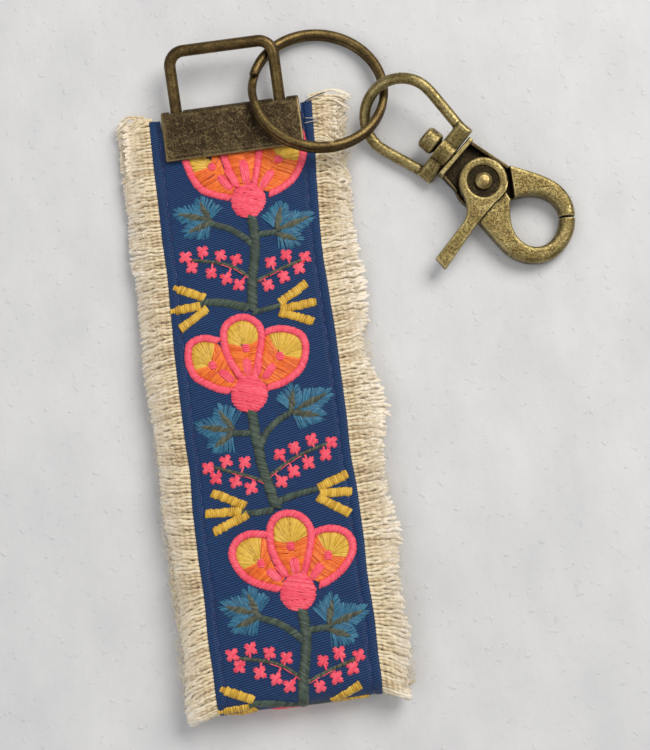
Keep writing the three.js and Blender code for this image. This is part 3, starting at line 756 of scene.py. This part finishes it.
FLOWER_B = dict(
    radius=4.3,
    petals=[
        dict(edge=[(-4.3, -0.5), (-6.8, -1.1), (-9.7, -2.9), (-12.1, -4.7), (-13.1, -7.3), (-13.3, -10.2),
                   (-12.7, -13.2), (-10.3, -14.5), (-7.7, -14.5), (-5.0, -13.4)],
             inner=[(-5.2, -12.0), (-4.6, -9.2), (-3.6, -6.2), (-2.4, -3.4)],
             anther=(-7.3, -7.4), base=(-2.6, -2.4), fan=(172, 278)),
        dict(edge=[(4.4, -0.1), (7.2, -0.5), (10.2, -1.7), (12.8, -3.8), (14.1, -6.7), (14.6, -9.9),
                   (13.4, -12.6), (10.4, -14.1), (7.8, -14.5), (5.2, -14.1)],
             inner=[(5.0, -12.6), (4.4, -9.6), (3.4, -6.2), (2.4, -3.4)],
             anther=(7.7, -7.4), base=(2.8, -2.4), fan=(250, 372)),
        dict(edge=[(-1.9, -3.5), (-4.1, -7.2), (-4.9, -10.4), (-5.0, -14.1), (-4.2, -16.4), (-1.9, -17.9),
                   (0.5, -18.3), (3.1, -17.3), (4.9, -15.2), (5.2, -12.6), (4.1, -8.4), (2.4, -3.5)],
             inner=[(1.0, -4.4), (-0.6, -4.4)],
             anther=(0.5, -10.2), base=(0.1, -3.8), fan=(204, 330)),
    ],
    rods=[((-5.9, -6.3), (-2.8, -2.8), 1.6), ((0.4, -8.2), (0.1, -3.6), 1.7), ((3.3, -7.3), (2.3, -3.5), 1.2),
          ((6.3, -6.1), (3.4, -2.6), 1.6), ((-3.0, -7.0), (-1.4, -3.4), 1.1)],
    stem=[(0, 4.0), (0.1, 7.1), (0.2, 10.1), (0.5, 13), (0.7, 15.9), (1.2, 18), (1.7, 20.6), (2.7, 25.3)],
    branches=[([(1.0, 11.5), (2.8, 8.6), (5.2, 6.8), (8.2, 5.4)], (1.7, 1.4)),
              ([(-0.9, 8.6), (-3.2, 8.3), (-5.6, 8.0)], (1.5, 1.4))],
    leaves=[([((8.6, 4.8), (9.7, 0.7)), ((10.2, 4.6), (16.6, 2.4)), ((9.0, 5.3), (14.3, 6.8))], (2.6, 2.9)),
            ([((-5.1, 7.6), (-11.2, 5.9)), ((-4.9, 7.0), (-6.8, 3.2)), ((-5.1, 8.4), (-8.8, 10.4))],
             (2.9, 2.6))],
    sprigs=[([(1.6, 20.1), (-0.7, 18.6), (-9.6, 15.1)],
             [(-11.2, 15), (-7.1, 14), (-3, 14.8), (-9.7, 17.4), (-5.5, 18.7), (-2.2, 20.5)]),
            ([(1.9, 18.6), (6.9, 15.7), (12.2, 13.9), (16.6, 13)],
             [(4.9, 14.1), (8.3, 13), (12.3, 11.8), (16.6, 13), (15, 15.5), (11, 16.8), (7.5, 18.2),
              (4.6, 20)])],
    forks=[([(1.9, 25.8), (-1.4, 26), (-4.8, 25.6)], (1.6, 1.3)),
           ([(2.6, 24.6), (6.1, 23.3), (12.1, 22.6)], (1.7, 1.2))],
    bars=[((-10.6, 20.5), (-4.1, 24.1), False), ((-12.4, 24.8), (-5.1, 25.1), False),
          ((-11.1, 28.8), (-3.8, 26.1), False), ((18.8, 20.3), (12.5, 22.3), False),
          ((19.1, 24.1), (12.8, 23.6), False), ((18.1, 28.6), (12.1, 24.5), False)],
)


def sew_flower(flower, v, s, stretch):
    m = Motif(v, s, 1.0175, stretch)
    for stalk, width in flower["branches"] + flower["forks"]:
        m.band(STEM, stalk, width, 0.36, 1.1, 0.42)
    for veins, spread in flower["leaves"]:
        m.leaf(veins, spread)
    m.band(STEM, flower["stem"], 2.3, 0.4, 1.5, 0.6, strand=1.6)
    for start, end, knot in flower["bars"]:
        m.bar(start, end, knot)
    for stalk, berries in flower["sprigs"]:
        m.sprig(stalk, berries)
    for petal in flower["petals"]:
        m.petal(**petal)
    for start, end, width in flower["rods"]:
        m.rod(CORAL, (start, end), width * 1.2, 0.68)
    m.ball(flower["radius"])


FIRST_BALL, REPEAT, PAST_FOLD = 11.5, 44.6, 1.5
for index, (flower, across) in enumerate([(FLOWER_A, 2.5), (FLOWER_B, -2.6)] * 3):
    sew_flower(flower, across, FIRST_BALL + REPEAT * index - PAST_FOLD * (index > 2), 1.0 if index else 1.7)

for side in (-1, 1):
    at = S_TOP + 1.0
    while at < S_END - 3:
        reach = 2.1 + rng.uniform(-0.15, 0.15)
        wobble = rng.uniform(-0.08, 0.08)
        work.stitch(NAVY, (side * (SEAM_V + wobble), at), (side * SEAM_V, at + reach), 0.42, -0.02)
        at += reach + 0.75
for _ in range(14):
    s = 43.5 + rng.uniform(0, 4.5)
    work.stitch(CORAL, (-17.5 + rng.uniform(-0.3, 0.3), s), (-17.0, s + rng.uniform(-0.6, 0.6)), 0.22, 0.1)

SPANS = [("front_top", S_TOP, 0.0), ("front", 0.0, S_FRONT), ("fold_front", S_FRONT, S_TIP),
         ("fold_back", S_TIP, S_BACK), ("back", S_BACK, S_END)]
work.clear_of_ends()
EMBROIDERY = work.pieces([("embroidery_" + n, a, b) for n, a, b in SPANS])


# ---------------------------------------------------------------- ribbon and linen
def slab(s_values, v_values, depth, thickness, relief):
    """A thin closed sheet under the strap's face. Returns points, faces and lay."""
    s, v = np.meshgrid(s_values, v_values, indexing="ij")
    lift = relief(s, v) if relief else 0.0
    top = skin(s, v, lift - depth)
    under = skin(s, v, lift * 0.5 - depth - thickness)
    rows, columns = s.shape
    points = np.concatenate([top.reshape(-1, 3), under.reshape(-1, 3)])
    lay = np.stack([v, s, np.full_like(s, 0.5)], -1).reshape(-1, 3)
    face = grid_faces(rows, columns)
    index = np.arange(rows * columns).reshape(rows, columns)
    rim = np.concatenate([index[0], index[1:, -1], index[-1, -2::-1], index[-2:0:-1, 0]])
    other = np.roll(rim, -1)
    wall = np.stack([rim, rim + rows * columns, other + rows * columns, other], -1)
    faces = np.concatenate([face[:, ::-1], face + rows * columns, wall])
    return points, faces, np.concatenate([lay, lay])


def joined(parts):
    points, faces, lay, seen = [], [], [], 0
    for p, f, l in parts:
        points.append(p)
        faces.append(f + seen)
        lay.append(l)
        seen += len(p)
    return np.concatenate(points), np.concatenate(faces), np.concatenate(lay)


def ribbon_relief(s, v):
    a = np.abs(v)
    groove = np.exp(-((a - SEAM_V) / 0.42) ** 2) * (0.22 + 0.06 * np.sin(2 * math.pi * s / 2.85))
    hem = 0.10 * np.clip((a - 16.2) / 0.3, 0, 1)
    rolled = 0.32 * np.clip((a - 17.4) / 0.6, 0, 1) ** 2
    return hem - groove - rolled


def steps(low, high, step):
    return np.linspace(low, high, max(2, int(round((high - low) / step)) + 1))


RIBBON_V = np.unique(np.concatenate([steps(-18, -14.6, 0.2), steps(-14.6, 14.6, 0.85), steps(14.6, 18, 0.2)]))
LINEN_V = steps(-18.6, 18.6, 0.8)
FOOT_BAR = 8.1
LINEN_DEPTH, LINEN_THICK = 0.5, 0.85
RIBBON_THICK = 0.38
SHEET_GAP = 1.6


def strap_sheet(name, material, low, high, columns, depth, thickness, relief=None):
    """One stretch of the strap; beside the clamp's foot bar only its two edges go on."""
    inner_low, inner_high = max(low, -FOOT_BAR), min(high, S_BACK_LIP + FOOT_BAR)
    parts = [slab(steps(inner_low, inner_high, 0.6), columns, depth, thickness, relief)]
    ends = [(low, inner_low)] * (inner_low > low) + [(inner_high, high)] * (high > inner_high)
    for a, b in ends:
        left = columns[columns <= -15.3]
        right = np.concatenate([[15.6], columns[columns >= 15.7]])
        for strip in (left, right):
            parts.append(slab(steps(a, b, 0.5), strip, depth, thickness, relief))
    sheet = make_mesh(name, *joined(parts), [material])
    sheet.data.set_sharp_from_angle(angle=math.radians(60))
    return sheet


RIBBONS, LINENS = {}, {}
for name, low, high in SPANS:
    a, b = max(low, S_TOP + SHEET_GAP), min(high, S_END - SHEET_GAP)
    RIBBONS[name] = strap_sheet("ribbon_" + name, RIBBON, a, b, RIBBON_V, 0.0, RIBBON_THICK, ribbon_relief)
    LINENS[name] = strap_sheet("linen_" + name, LINEN, a + (a > low), b - (b < high), LINEN_V, LINEN_DEPTH,
                               LINEN_THICK)


# ---------------------------------------------------------------- fringe
# REACH: the share of their full length the yarns have at each s in mm, left and right. LEAN: how far they
# lean off the fold's end, in mm.
REACH = {-1: ([0, 15, 32, 55, 64, 76, 82, 94, 106, 112, 120],
              [0.98, 0.97, 0.93, 0.91, 0.84, 0.92, 0.82, 0.75, 0.72, 0.8, 0.87]),
         1: ([0, 8, 18, 30, 36, 42, 48, 54, 62, 70, 80, 88, 98, 110, 120],
             [0.84, 0.9, 0.96, 1.05, 1.04, 0.93, 0.79, 0.88, 1.1, 0.96, 0.77, 0.97, 0.86, 0.84, 0.76])}
LEAN = {-1: 4.2, 1: 5.2}
ROOT_V = 17.2
FRINGE_GAP = 0.8


def strands(seed, side, low, high, depth, droop, radius, reach, lower_layer_shade):
    """Yarns pulled free along one edge of the linen, from s = low to high; the last argument lowers their
    tint, painted shade on yarns that lie under others. Their slow drifts are the same curves in every
    stretch, so neighbouring stretches meet."""
    local = np.random.RandomState(seed)
    pitch = 0.74
    ragged = 1.0 if side > 0 else 0.45
    count = int((high - low) / pitch)
    pitch = (high - low) / count
    u = np.linspace(0, 1, 13)[None]
    s0 = (low + (np.arange(count) + 0.5) * pitch + local.uniform(-0.2, 0.2, count) * pitch)[:, None]
    shared = 50 * int(depth * 10) + 10 * side
    clump = smooth_noise(shared + 1, 2.2, 1.1)(s0)
    drift = smooth_noise(shared + 2, 13.0, 0.6 + ragged)(s0)
    sag = smooth_noise(shared + 3, 5.0, 0.8)(s0)
    longer = smooth_noise(shared + 4, 7.0, 0.9 * ragged)(s0) + local.uniform(-0.6, 0.5, (count, 1)) * ragged
    phase = local.uniform(0, 2 * math.pi, (count, 1))
    wild = (local.uniform(0, 1, (count, 1)) < 0.1 * ragged) * local.uniform(-2.2, 2.2, (count, 1))
    tangle = np.interp(s0, [6, 14], [1.0, 0.0]) * (side > 0)
    run = (reach + longer) * np.interp(s0, *REACH[side]) * u
    v = ROOT_V + run - 0.5 * u ** 3
    s = (s0 + (clump * 0.75 + drift) * u ** 1.6 + wild * u ** 3
         + 0.13 * np.sin(run * 2.0 + phase) * np.minimum(1, u * 3)
         + (0.22 + 0.9 * tangle) * np.sin(run * 1.1 + phase * 2) * u)
    h = (-depth - 0.5 * np.abs(clump) * u ** 2 - (droop + sag) * u ** 2.6
         + 0.12 * np.sin(run * 2.1 + phase * 1.7) * u + 0.25 * np.sin(math.pi * u))
    h = np.where(s0 > S_TIP, np.clip(h, -2.6, 0.3), h)
    paths = skin(s, side * v, h)
    paths[..., 1] -= LEAN[side] * np.interp(s0, [84, S_TIP - 3, S_TIP + 9], [0, 1, 0]) ** 2 * u ** 1.4
    paths[..., 2] = np.maximum(paths[..., 2], radius + 0.05)
    r = radius * (1 + 0.4 * u) * (1 + 0.08 * np.sin(run * 5 + phase)) * np.where(u > 0.93, 0.6, 1.0)
    return paths, r * np.ones_like(u), local.uniform(0, 1, count) * (1 - lower_layer_shade)


def fuzz(seed, low, high, count):
    """Fine loose fibres over the fringe."""
    local = np.random.RandomState(seed)
    u = np.linspace(0, 1, 5)[None]
    side = local.choice([-1, 1], (count, 1))
    s0 = local.uniform(low, high, (count, 1))
    v0 = 18.5 + local.beta(1.6, 1.1, (count, 1)) * 6.4
    way = local.uniform(-1.3, 1.3, (count, 1))
    length = local.uniform(1.0, 3.0, (count, 1))
    curl = local.uniform(-0.9, 0.9, (count, 1))
    v = v0 + length * np.cos(way) * u * 0.6
    s = s0 + length * np.sin(way) * u + curl * np.sin(math.pi * u) * 0.6
    out = np.clip((v - 18) / 8.5, 0, 1)
    lift = local.uniform(0.1, 0.75, (count, 1))
    h = -0.2 - 2.0 * out ** 2.6 + lift * np.sin(math.pi * np.minimum(u + 0.15, 1.0))
    h = np.where(s0 > S_TIP, np.minimum(h, 0.2) - 0.5, h)
    paths = skin(s, side * v, h)
    paths[..., 2] = np.maximum(paths[..., 2], 0.1)
    radius = 0.045 * (1 - 0.5 * u) * np.ones((count, 1))
    return paths, radius, local.uniform(0.4, 1, count)


def fringe_piece(name, low, high, seed):
    parts = []
    for i, side in enumerate((-1, 1)):
        # Deeper layers get a lower tint from their last value: painted shade under the layers above.
        for depth, radius, reach, sag, lower_layer_shade in ((0.55, 0.31, 9.4, 2.0, 0.0), (1.1, 0.33, 9.1, 2.5, 0.25),
                                               (1.6, 0.34, 8.4, 2.4, 0.45)):
            back = low >= S_TIP
            paths, radii, tint = strands(seed + 40 * i + int(depth * 10), side, low, high, depth,
                                         -0.2 if back else sag + 0.5 * i, radius, reach, lower_layer_shade)
            parts.append(tubes(paths, radii, 6, tint))
    paths, radii, tint = fuzz(seed + 9, low, high, int((high - low) * 26))
    parts.append(tubes(paths, radii, 3, tint))
    return make_mesh(name, *joined(parts), [YARN])


FRINGE = {name: fringe_piece("fringe_" + name, max(low, S_TOP + FRINGE_GAP),
                              min(high, S_END - FRINGE_GAP), 100 + 200 * i)
          for i, (name, low, high) in enumerate(SPANS)}


def loose_threads():
    """The long loops at the top corners, a blue thread and two white ends."""
    local = np.random.RandomState(5)
    u = np.linspace(0, 1, 13)
    lines, tints = [], []
    for side, count in ((-1, 9), (1, 7)):
        for _ in range(count):
            start = np.array([side * local.uniform(16.3, 19.5), S_TOP + local.uniform(0.2, 2.4)])
            end = np.array([side * local.uniform(24, 26.6), S_TOP + local.uniform(0.2, 4.5)])
            bow = local.uniform(-1.6, -0.2)
            p = start + (end - start) * u[:, None]
            p[:, 1] += bow * np.sin(math.pi * u) + 0.2 * np.sin(9 * u + local.uniform(0, 6))
            h = -0.6 + 0.5 * np.sin(math.pi * u) - local.uniform(0.4, 2.0) * u ** 2
            lines.append(skin(np.maximum(p[:, 1], S_TOP), p[:, 0], h)
                         + np.stack([0 * u, np.maximum(0, S_TOP - p[:, 1]), 0 * u], 1))
            tints.append(local.uniform(0.2, 1))
    paths = np.array(lines)
    radii = np.full(paths.shape[:2], 0.27) * np.where(u > 0.95, 0.6, 1.0)
    cream = tubes(paths, radii, 6, tints)
    blue = skin(np.interp(u, [0, 1], [S_TOP + 1.6, S_TOP + 0.2]), 16.6 + 4.2 * u,
                0.3 + 0.5 * np.sin(math.pi * u))
    whites = [skin(-6.6 + 0.5 * u, 16.4 + 2.4 * u, 0.35 * np.sin(math.pi * u)),
              skin(-5.4 - 0.2 * u, 16.2 + 2.6 * u, 0.3 * np.sin(math.pi * u))]
    fine = np.array([blue] + whites)
    thin = tubes(fine, np.full(fine.shape[:2], 0.13), 6, [0.8, 0.8, 0.6])
    points, faces, lay = joined([cream, thin])
    slots = np.zeros(len(faces), int)
    each = 12 * 6
    slots[len(cream[1]):len(cream[1]) + each] = 1
    slots[len(cream[1]) + each:] = 2
    return make_mesh("loose_threads", points, faces, lay, [YARN, RIBBON, WHITE], slots)


LOOSE = loose_threads()

# ---------------------------------------------------------------- the strap's pieces: the top stretch and loose threads on strap_end, the other stretches fixed in place, the CAD strap hidden
BLENDS = {
    "front": ("front_upper", "front_lower", (0, -58, 7), (0, -78, 7)),
    "fold_front": ("front_lower", "fold", (0, -124, 9.0), (0, -130, 4.85)),
    "fold_back": ("fold", "back_lower", (0, -130, 4.8), (0, -124, 0.65)),
    "back": ("back_lower", "strap_end", (0, -75, 1), (0, -55, 1)),
}
STANDS_FOR = {
    "front_top": ["clamped_front"], "front": ["front_upper", "front_lower"],
    "fold_front": ["front_lower", "fold"],
    "fold_back": ["fold", "back_lower"], "back": ["back_lower", "back_upper"],
}
for name, low, high in SPANS:
    for piece in (RIBBONS[name], LINENS[name], FRINGE[name], EMBROIDERY["embroidery_" + name]):
        if name in BLENDS:
            a, b, start, end = BLENDS[name]
            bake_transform(piece)
        else:
            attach(piece, "strap_end")
    for stand_for in STANDS_FOR[name]:
        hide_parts("ribbon_" + stand_for)
        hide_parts("linen_" + stand_for)
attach(LOOSE, "strap_end")


# ---------------------------------------------------------------- metal fittings
def wire(path, radius, radial=None, sides=24, frame_up=(0, 0, 1), closed=False):
    """A wire of oval section along a path in mm: radius along frame_up, radial across it."""
    p = np.asarray(path, float)
    along = (np.roll(p, -1, 0) - np.roll(p, 1, 0)) if closed else np.gradient(p, axis=0)
    along /= np.linalg.norm(along, axis=1, keepdims=True)
    up = np.asarray(frame_up, float) / np.linalg.norm(frame_up)
    side = np.cross(along, up)
    side /= np.linalg.norm(side, axis=1, keepdims=True)
    top = np.cross(side, along)
    turn = np.linspace(0, 2 * math.pi, sides, endpoint=False)
    across = radial or radius
    ring = (side[:, None] * np.cos(turn)[:, None] * across + top[:, None] * np.sin(turn)[:, None] * radius)
    points = p[:, None] + ring
    rows = len(p)
    faces = grid_faces(rows, sides, True)
    points = points.reshape(-1, 3)
    if closed:
        last = (rows - 1) * sides + np.arange(sides)
        first = np.arange(sides)
        faces = np.concatenate([faces, np.stack([last, np.roll(last, -1), np.roll(first, -1), first], -1)])
        return points, faces
    caps = []
    for row, flip in ((0, False), (rows - 1, True)):
        ring_index = row * sides + np.arange(sides)
        centre = len(points)
        points = np.concatenate([points, p[row:row + 1]])
        for i in range(0, sides, 2):
            quad = [ring_index[i], ring_index[(i + 1) % sides], ring_index[(i + 2) % sides], centre]
            caps.append(quad if flip else quad[::-1])
    return points, np.concatenate([faces, np.array(caps)])


def metal_piece(name, points, faces, material, body, *nodes):
    piece = make_mesh(name, points, faces, np.zeros((len(points), 3)), [material])
    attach(piece, body)
    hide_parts(*nodes)
    return piece


WIRE = dict(radius=1.35, span=24.1, reach=16.2, top=3.4, foot=1.8, x=-0.4, y=3.6, z=2.8, tilt=16.5)


def wire_loop_path():
    half, reach = WIRE["span"] / 2, WIRE["reach"]
    path = []
    corners = [(half, 0, WIRE["foot"], 270), (half, reach, WIRE["top"], 0), (-half, reach, WIRE["top"], 90),
               (-half, 0, WIRE["foot"], 180)]
    for x, y, r, start in corners:
        cx, cy = x - math.copysign(r, x), y + (r if y == 0 else -r)
        for a in np.radians(np.linspace(start, start + 90, 15)):
            path.append((cx + r * math.cos(a), cy + r * math.sin(a)))
    x, y = resampled(path + path[:1], 241)[:-1].T
    tilt = math.radians(WIRE["tilt"])
    return np.stack([x + WIRE["x"], y * math.cos(tilt) + WIRE["y"], y * math.sin(tilt) + WIRE["z"]], 1)


tilt = math.radians(WIRE["tilt"])
points, faces = wire(wire_loop_path(), WIRE["radius"], frame_up=(0, -math.sin(tilt), math.cos(tilt)),
                     closed=True)
metal_piece("wire_loop_round", points, faces, RING_BRASS, "loop", "wire_loop")

RING = dict(centre=(20.7, 6.1, 5.3), radius=15.2, radial=1.0, axial=0.7, pitch=1.5, slope_x=-0.11,
            slope_y=-0.215, joggle=30, cut=160)


def split_ring_path():
    up = np.array([-RING["slope_x"], -RING["slope_y"], 1.0])
    up /= np.linalg.norm(up)
    along = np.array([1, 0, RING["slope_x"]])
    along /= np.linalg.norm(along)
    across = np.cross(up, along)
    turn = np.linspace(RING["joggle"], 720, 421)
    k = np.clip((turn - 360) / RING["joggle"], 0, 1)
    k = k * k * (3 - 2 * k)
    angle = np.radians(turn + RING["cut"])
    flat = np.stack([RING["radius"] * np.cos(angle), RING["radius"] * np.sin(angle),
                     RING["pitch"] * (k - 0.5)], 1)
    return flat @ np.array([along, across, up]) + RING["centre"], up


ring_path, ring_up = split_ring_path()
points, faces = wire(ring_path, RING["axial"], RING["radial"], frame_up=ring_up)
metal_piece("split_ring_round", points, faces, RING_BRASS, "ring", "split_ring")

HOOK = dict(centre=(47.5, -12.5, 4.8), heading=-47.5, slope=-0.085)
PIVOT = (11.07, 0.08)


def hook_axes():
    """The hook's own axes: along its post, across it, and up out of its face."""
    turn = math.radians(HOOK["heading"])
    flat = np.array([math.cos(turn), math.sin(turn), 0])
    along = flat + [0, 0, HOOK["slope"]]
    along /= np.linalg.norm(along)
    across = np.array([-flat[1], flat[0], 0])
    return np.array([along, across, np.cross(along, across)])


def arc(middle, radius, start, end, count=24):
    turn = np.radians(np.linspace(start, end, count))
    return list(np.stack([middle[0] + radius * np.cos(turn), middle[1] + radius * np.sin(turn)], 1))


def curved(start, *legs):
    """An outline from its start, each leg a point to go to or (handle, handle, end) to curve to."""
    path = [np.array(start, float)]
    for leg in legs:
        if hasattr(leg[0], "__len__"):
            p, (c, d, e) = path[-1], (np.array(x, float) for x in leg)
            path += [(1 - t) ** 3 * p + 3 * (1 - t) ** 2 * t * c + 3 * (1 - t) * t * t * d + t ** 3 * e
                     for t in np.linspace(0, 1, 13)[1:]]
        else:
            path.append(np.array(leg, float))
    return path


def plate(outline, low, high, bevel):
    """A plate of this outline from low to high, its edges rounded by bevel. Returns points and faces."""
    curve = bpy.data.curves.new("outline", "CURVE")
    curve.dimensions = "2D"
    curve.fill_mode = "BOTH"
    curve.extrude = (high - low) / 2 - bevel
    curve.bevel_depth = bevel
    curve.bevel_resolution = 3
    curve.offset = -bevel
    spline = curve.splines.new("POLY")
    spline.points.add(len(outline) - 1)
    for point, (x, y) in zip(spline.points, outline):
        point.co = (x, y, 0, 1)
    spline.use_cyclic_u = True
    holder = bpy.data.objects.new("outline", curve)
    mesh = bpy.data.meshes.new_from_object(holder)
    points = np.empty(len(mesh.vertices) * 3)
    mesh.vertices.foreach_get("co", points)
    faces = [list(face.vertices) for face in mesh.polygons]
    bpy.data.objects.remove(holder)
    bpy.data.curves.remove(curve)
    bpy.data.meshes.remove(mesh)
    return points.reshape(-1, 3) + [0, 0, (low + high) / 2], faces


def turned(profile, sides=48):
    """A closed (radius, height) profile turned about the pivot."""
    r, n = np.array(profile, float).T
    turn = np.linspace(0, 2 * math.pi, sides, endpoint=False)[:, None]
    points = np.stack([PIVOT[0] + r * np.cos(turn), PIVOT[1] + r * np.sin(turn), n + 0 * turn], -1)
    i, j = np.meshgrid(np.arange(sides), np.arange(len(r)), indexing="ij")
    k, l = (i + 1) % sides, (j + 1) % len(r)
    faces = np.stack([i * len(r) + j, k * len(r) + j, k * len(r) + l, i * len(r) + l], -1).reshape(-1, 4)
    return points.reshape(-1, 3), faces.tolist()


def soften(piece, voxel, rounds):
    """Melt a casting's overlapping parts into one skin with soft edges."""
    remesh = piece.modifiers.new("even", "REMESH")
    remesh.mode = "VOXEL"
    remesh.voxel_size = voxel * MM
    remesh.use_smooth_shade = True
    smooth = piece.modifiers.new("soften", "SMOOTH")
    smooth.factor = 0.5
    smooth.iterations = rounds


def loft(inner, outer, low, high, boxy):
    """A bar from its two sides, given as outlines of one length, flat at both ends; boxy is how square
    its section is at each end, from 0 (oval) to 1."""
    inner, outer = (resampled(x, 28) for x in (inner, outer))
    sides = 32
    turn = np.linspace(0, 2 * math.pi, sides, endpoint=False)
    power = (1 - np.linspace(boxy[0], boxy[1], len(inner)))[:, None]
    cos, sin = np.cos(turn), np.sin(turn)
    x = np.sign(cos) * np.abs(cos) ** power
    z = np.sign(sin) * np.abs(sin) ** power
    flat = (inner + outer)[:, None] / 2 + (outer - inner)[:, None] / 2 * x[..., None]
    points = np.concatenate([flat, (low + high) / 2 + (high - low) / 2 * z[..., None]], -1).reshape(-1, 3)
    ends = [list(range(sides)), list(range(len(points) - 1, len(points) - sides - 1, -1))]
    return points, grid_faces(len(inner), sides, True).tolist() + ends


def casting(name, parts, body, node, material=BRASS, voxel=0.14, rounds=5):
    points, faces, seen = [], [], 0
    for p, f in parts:
        points.append(p)
        faces += [[i + seen for i in face] for face in f]
        seen += len(p)
    mesh = bpy.data.meshes.new(name)
    placed = (np.concatenate(points) @ hook_axes() + HOOK["centre"]) * MM
    mesh.from_pydata(placed.tolist(), [], faces)
    mesh.materials.append(material)
    piece = bpy.data.objects.new(name, mesh)
    bpy.context.scene.collection.objects.link(piece)
    soften(piece, voxel, rounds)
    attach(piece, body)
    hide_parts(node)


UNDER, FLOOR, JAW_TOP = -2.1, -0.9, 2.0
casting("hook_housing", [
    plate([(2.6, 5.8), (2.6, -4.6), (7.4, -5.2)] + arc(PIVOT, 6.4, -125, 6)
          + [(19.0, 2.0), (18.2, 8.4), (13.2, 6.9)], UNDER, FLOOR, 0.15),
    plate([(2.8, 5.8), (2.8, 5.0), (13.4, 6.1), (13.9, 7.1), (13.2, 6.9)], UNDER, 0.9, 0.1),
    plate([(2.8, -4.6), (7.4, -5.2), (8.0, -5.5), (8.0, -4.9), (2.8, -3.9)], UNDER, -0.1, 0.1),
], "hook", "hook_body", HOUSING)
casting("hook_casting", [
    plate([(2.1, -4.9), (3.3, -4.9), (3.3, 6.0), (2.1, 6.0)], -2.1, 2.1, 0.3),
    loft(curved((18.9, 1.9), ((20.6, 4.2), (22.6, 6.6), (26.0, 6.7)),
                ((27.6, 6.7), (28.8, 6.1), (29.5, 5.3))),
         curved((13.4, 6.9), ((17.4, 8.9), (21.0, 10.6), (24.4, 11.0)),
                ((27.4, 11.2), (30.4, 10.0), (32.2, 7.8))),
         UNDER, JAW_TOP, (0.85, 0.25)),
], "hook", "hook_body")

a, w = PIVOT
lever = (arc(PIVOT, 5.3, 24, 20, 2) + arc(PIVOT, 3.85, 20, -152, 30)
         + curved((a - 4.9, w - 2.6), ((7.6, -5.4), (12.9, -5.4), (13.6, -10.1)), (14.1, -20.8),
                  (17.5, -21.3), (16.4, -9.7)))
casting("trigger_casting", [
    turned([(1.35, -0.55), (5.4, -0.55), (5.6, -0.3), (5.6, 1.75), (5.45, 2.05), (5.1, 2.2), (4.1, 2.2),
            (3.75, 2.05), (3.6, 1.5), (1.35, 1.5)]),
    plate(lever, 0.3, 2.2, 0.35),
    loft(curved((18.7, 0.3), ((20.4, -1.2), (21.8, -4.0), (25.4, -4.7)),
                ((28.0, -5.2), (30.4, -4.0), (31.3, -1.4)), ((31.9, 0.8), (31.2, 3.4), (29.8, 5.0))),
         curved((15.4, -7.6), ((17.0, -7.7), (22.4, -8.9), (25.4, -9.1)),
                ((29.6, -9.2), (33.3, -6.8), (34.7, -3.0)),
                ((35.8, 0.6), (35.0, 4.8), (32.5, 7.5))),
         -1.8, JAW_TOP - 0.2, (0.85, 0.25)),
    plate([(15.0, 2.0), (18.5, 0.9), (20.0, -3.5), (17.6, -7.3), (14.6, -5.6)], -0.55, JAW_TOP - 0.25, 0.2),
], "trigger_lever", "trigger")
casting("trigger_recess", [turned([(1.4, 1.3), (3.72, 1.3), (3.72, 1.58), (1.4, 1.58)])], "trigger_lever",
        "trigger", HOUSING, voxel=0.1, rounds=2)

for name, voxel, rounds, material in (("clamp_shell", 0.24, 3, DARK_BRASS), ("swivel_loop", 0.16, 16, BRASS),
                                      ("swivel_post", 0.14, 12, BRASS), ("rivet", 0.1, 4, RING_BRASS)):
    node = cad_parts[name]
    node.data.materials.clear()
    node.data.materials.append(material)
    soften(node, voxel, rounds)
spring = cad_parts["trigger_spring"]
spring.data.materials.clear()
spring.data.materials.append(DARK_BRASS)

# ---------------------------------------------------------------- floor
bpy.ops.mesh.primitive_grid_add(x_subdivisions=8, y_subdivisions=8, size=3.0, location=(0, 0, 0))
floor = bpy.context.object
floor.name = "floor"
floor.data.materials.append(floor_material())
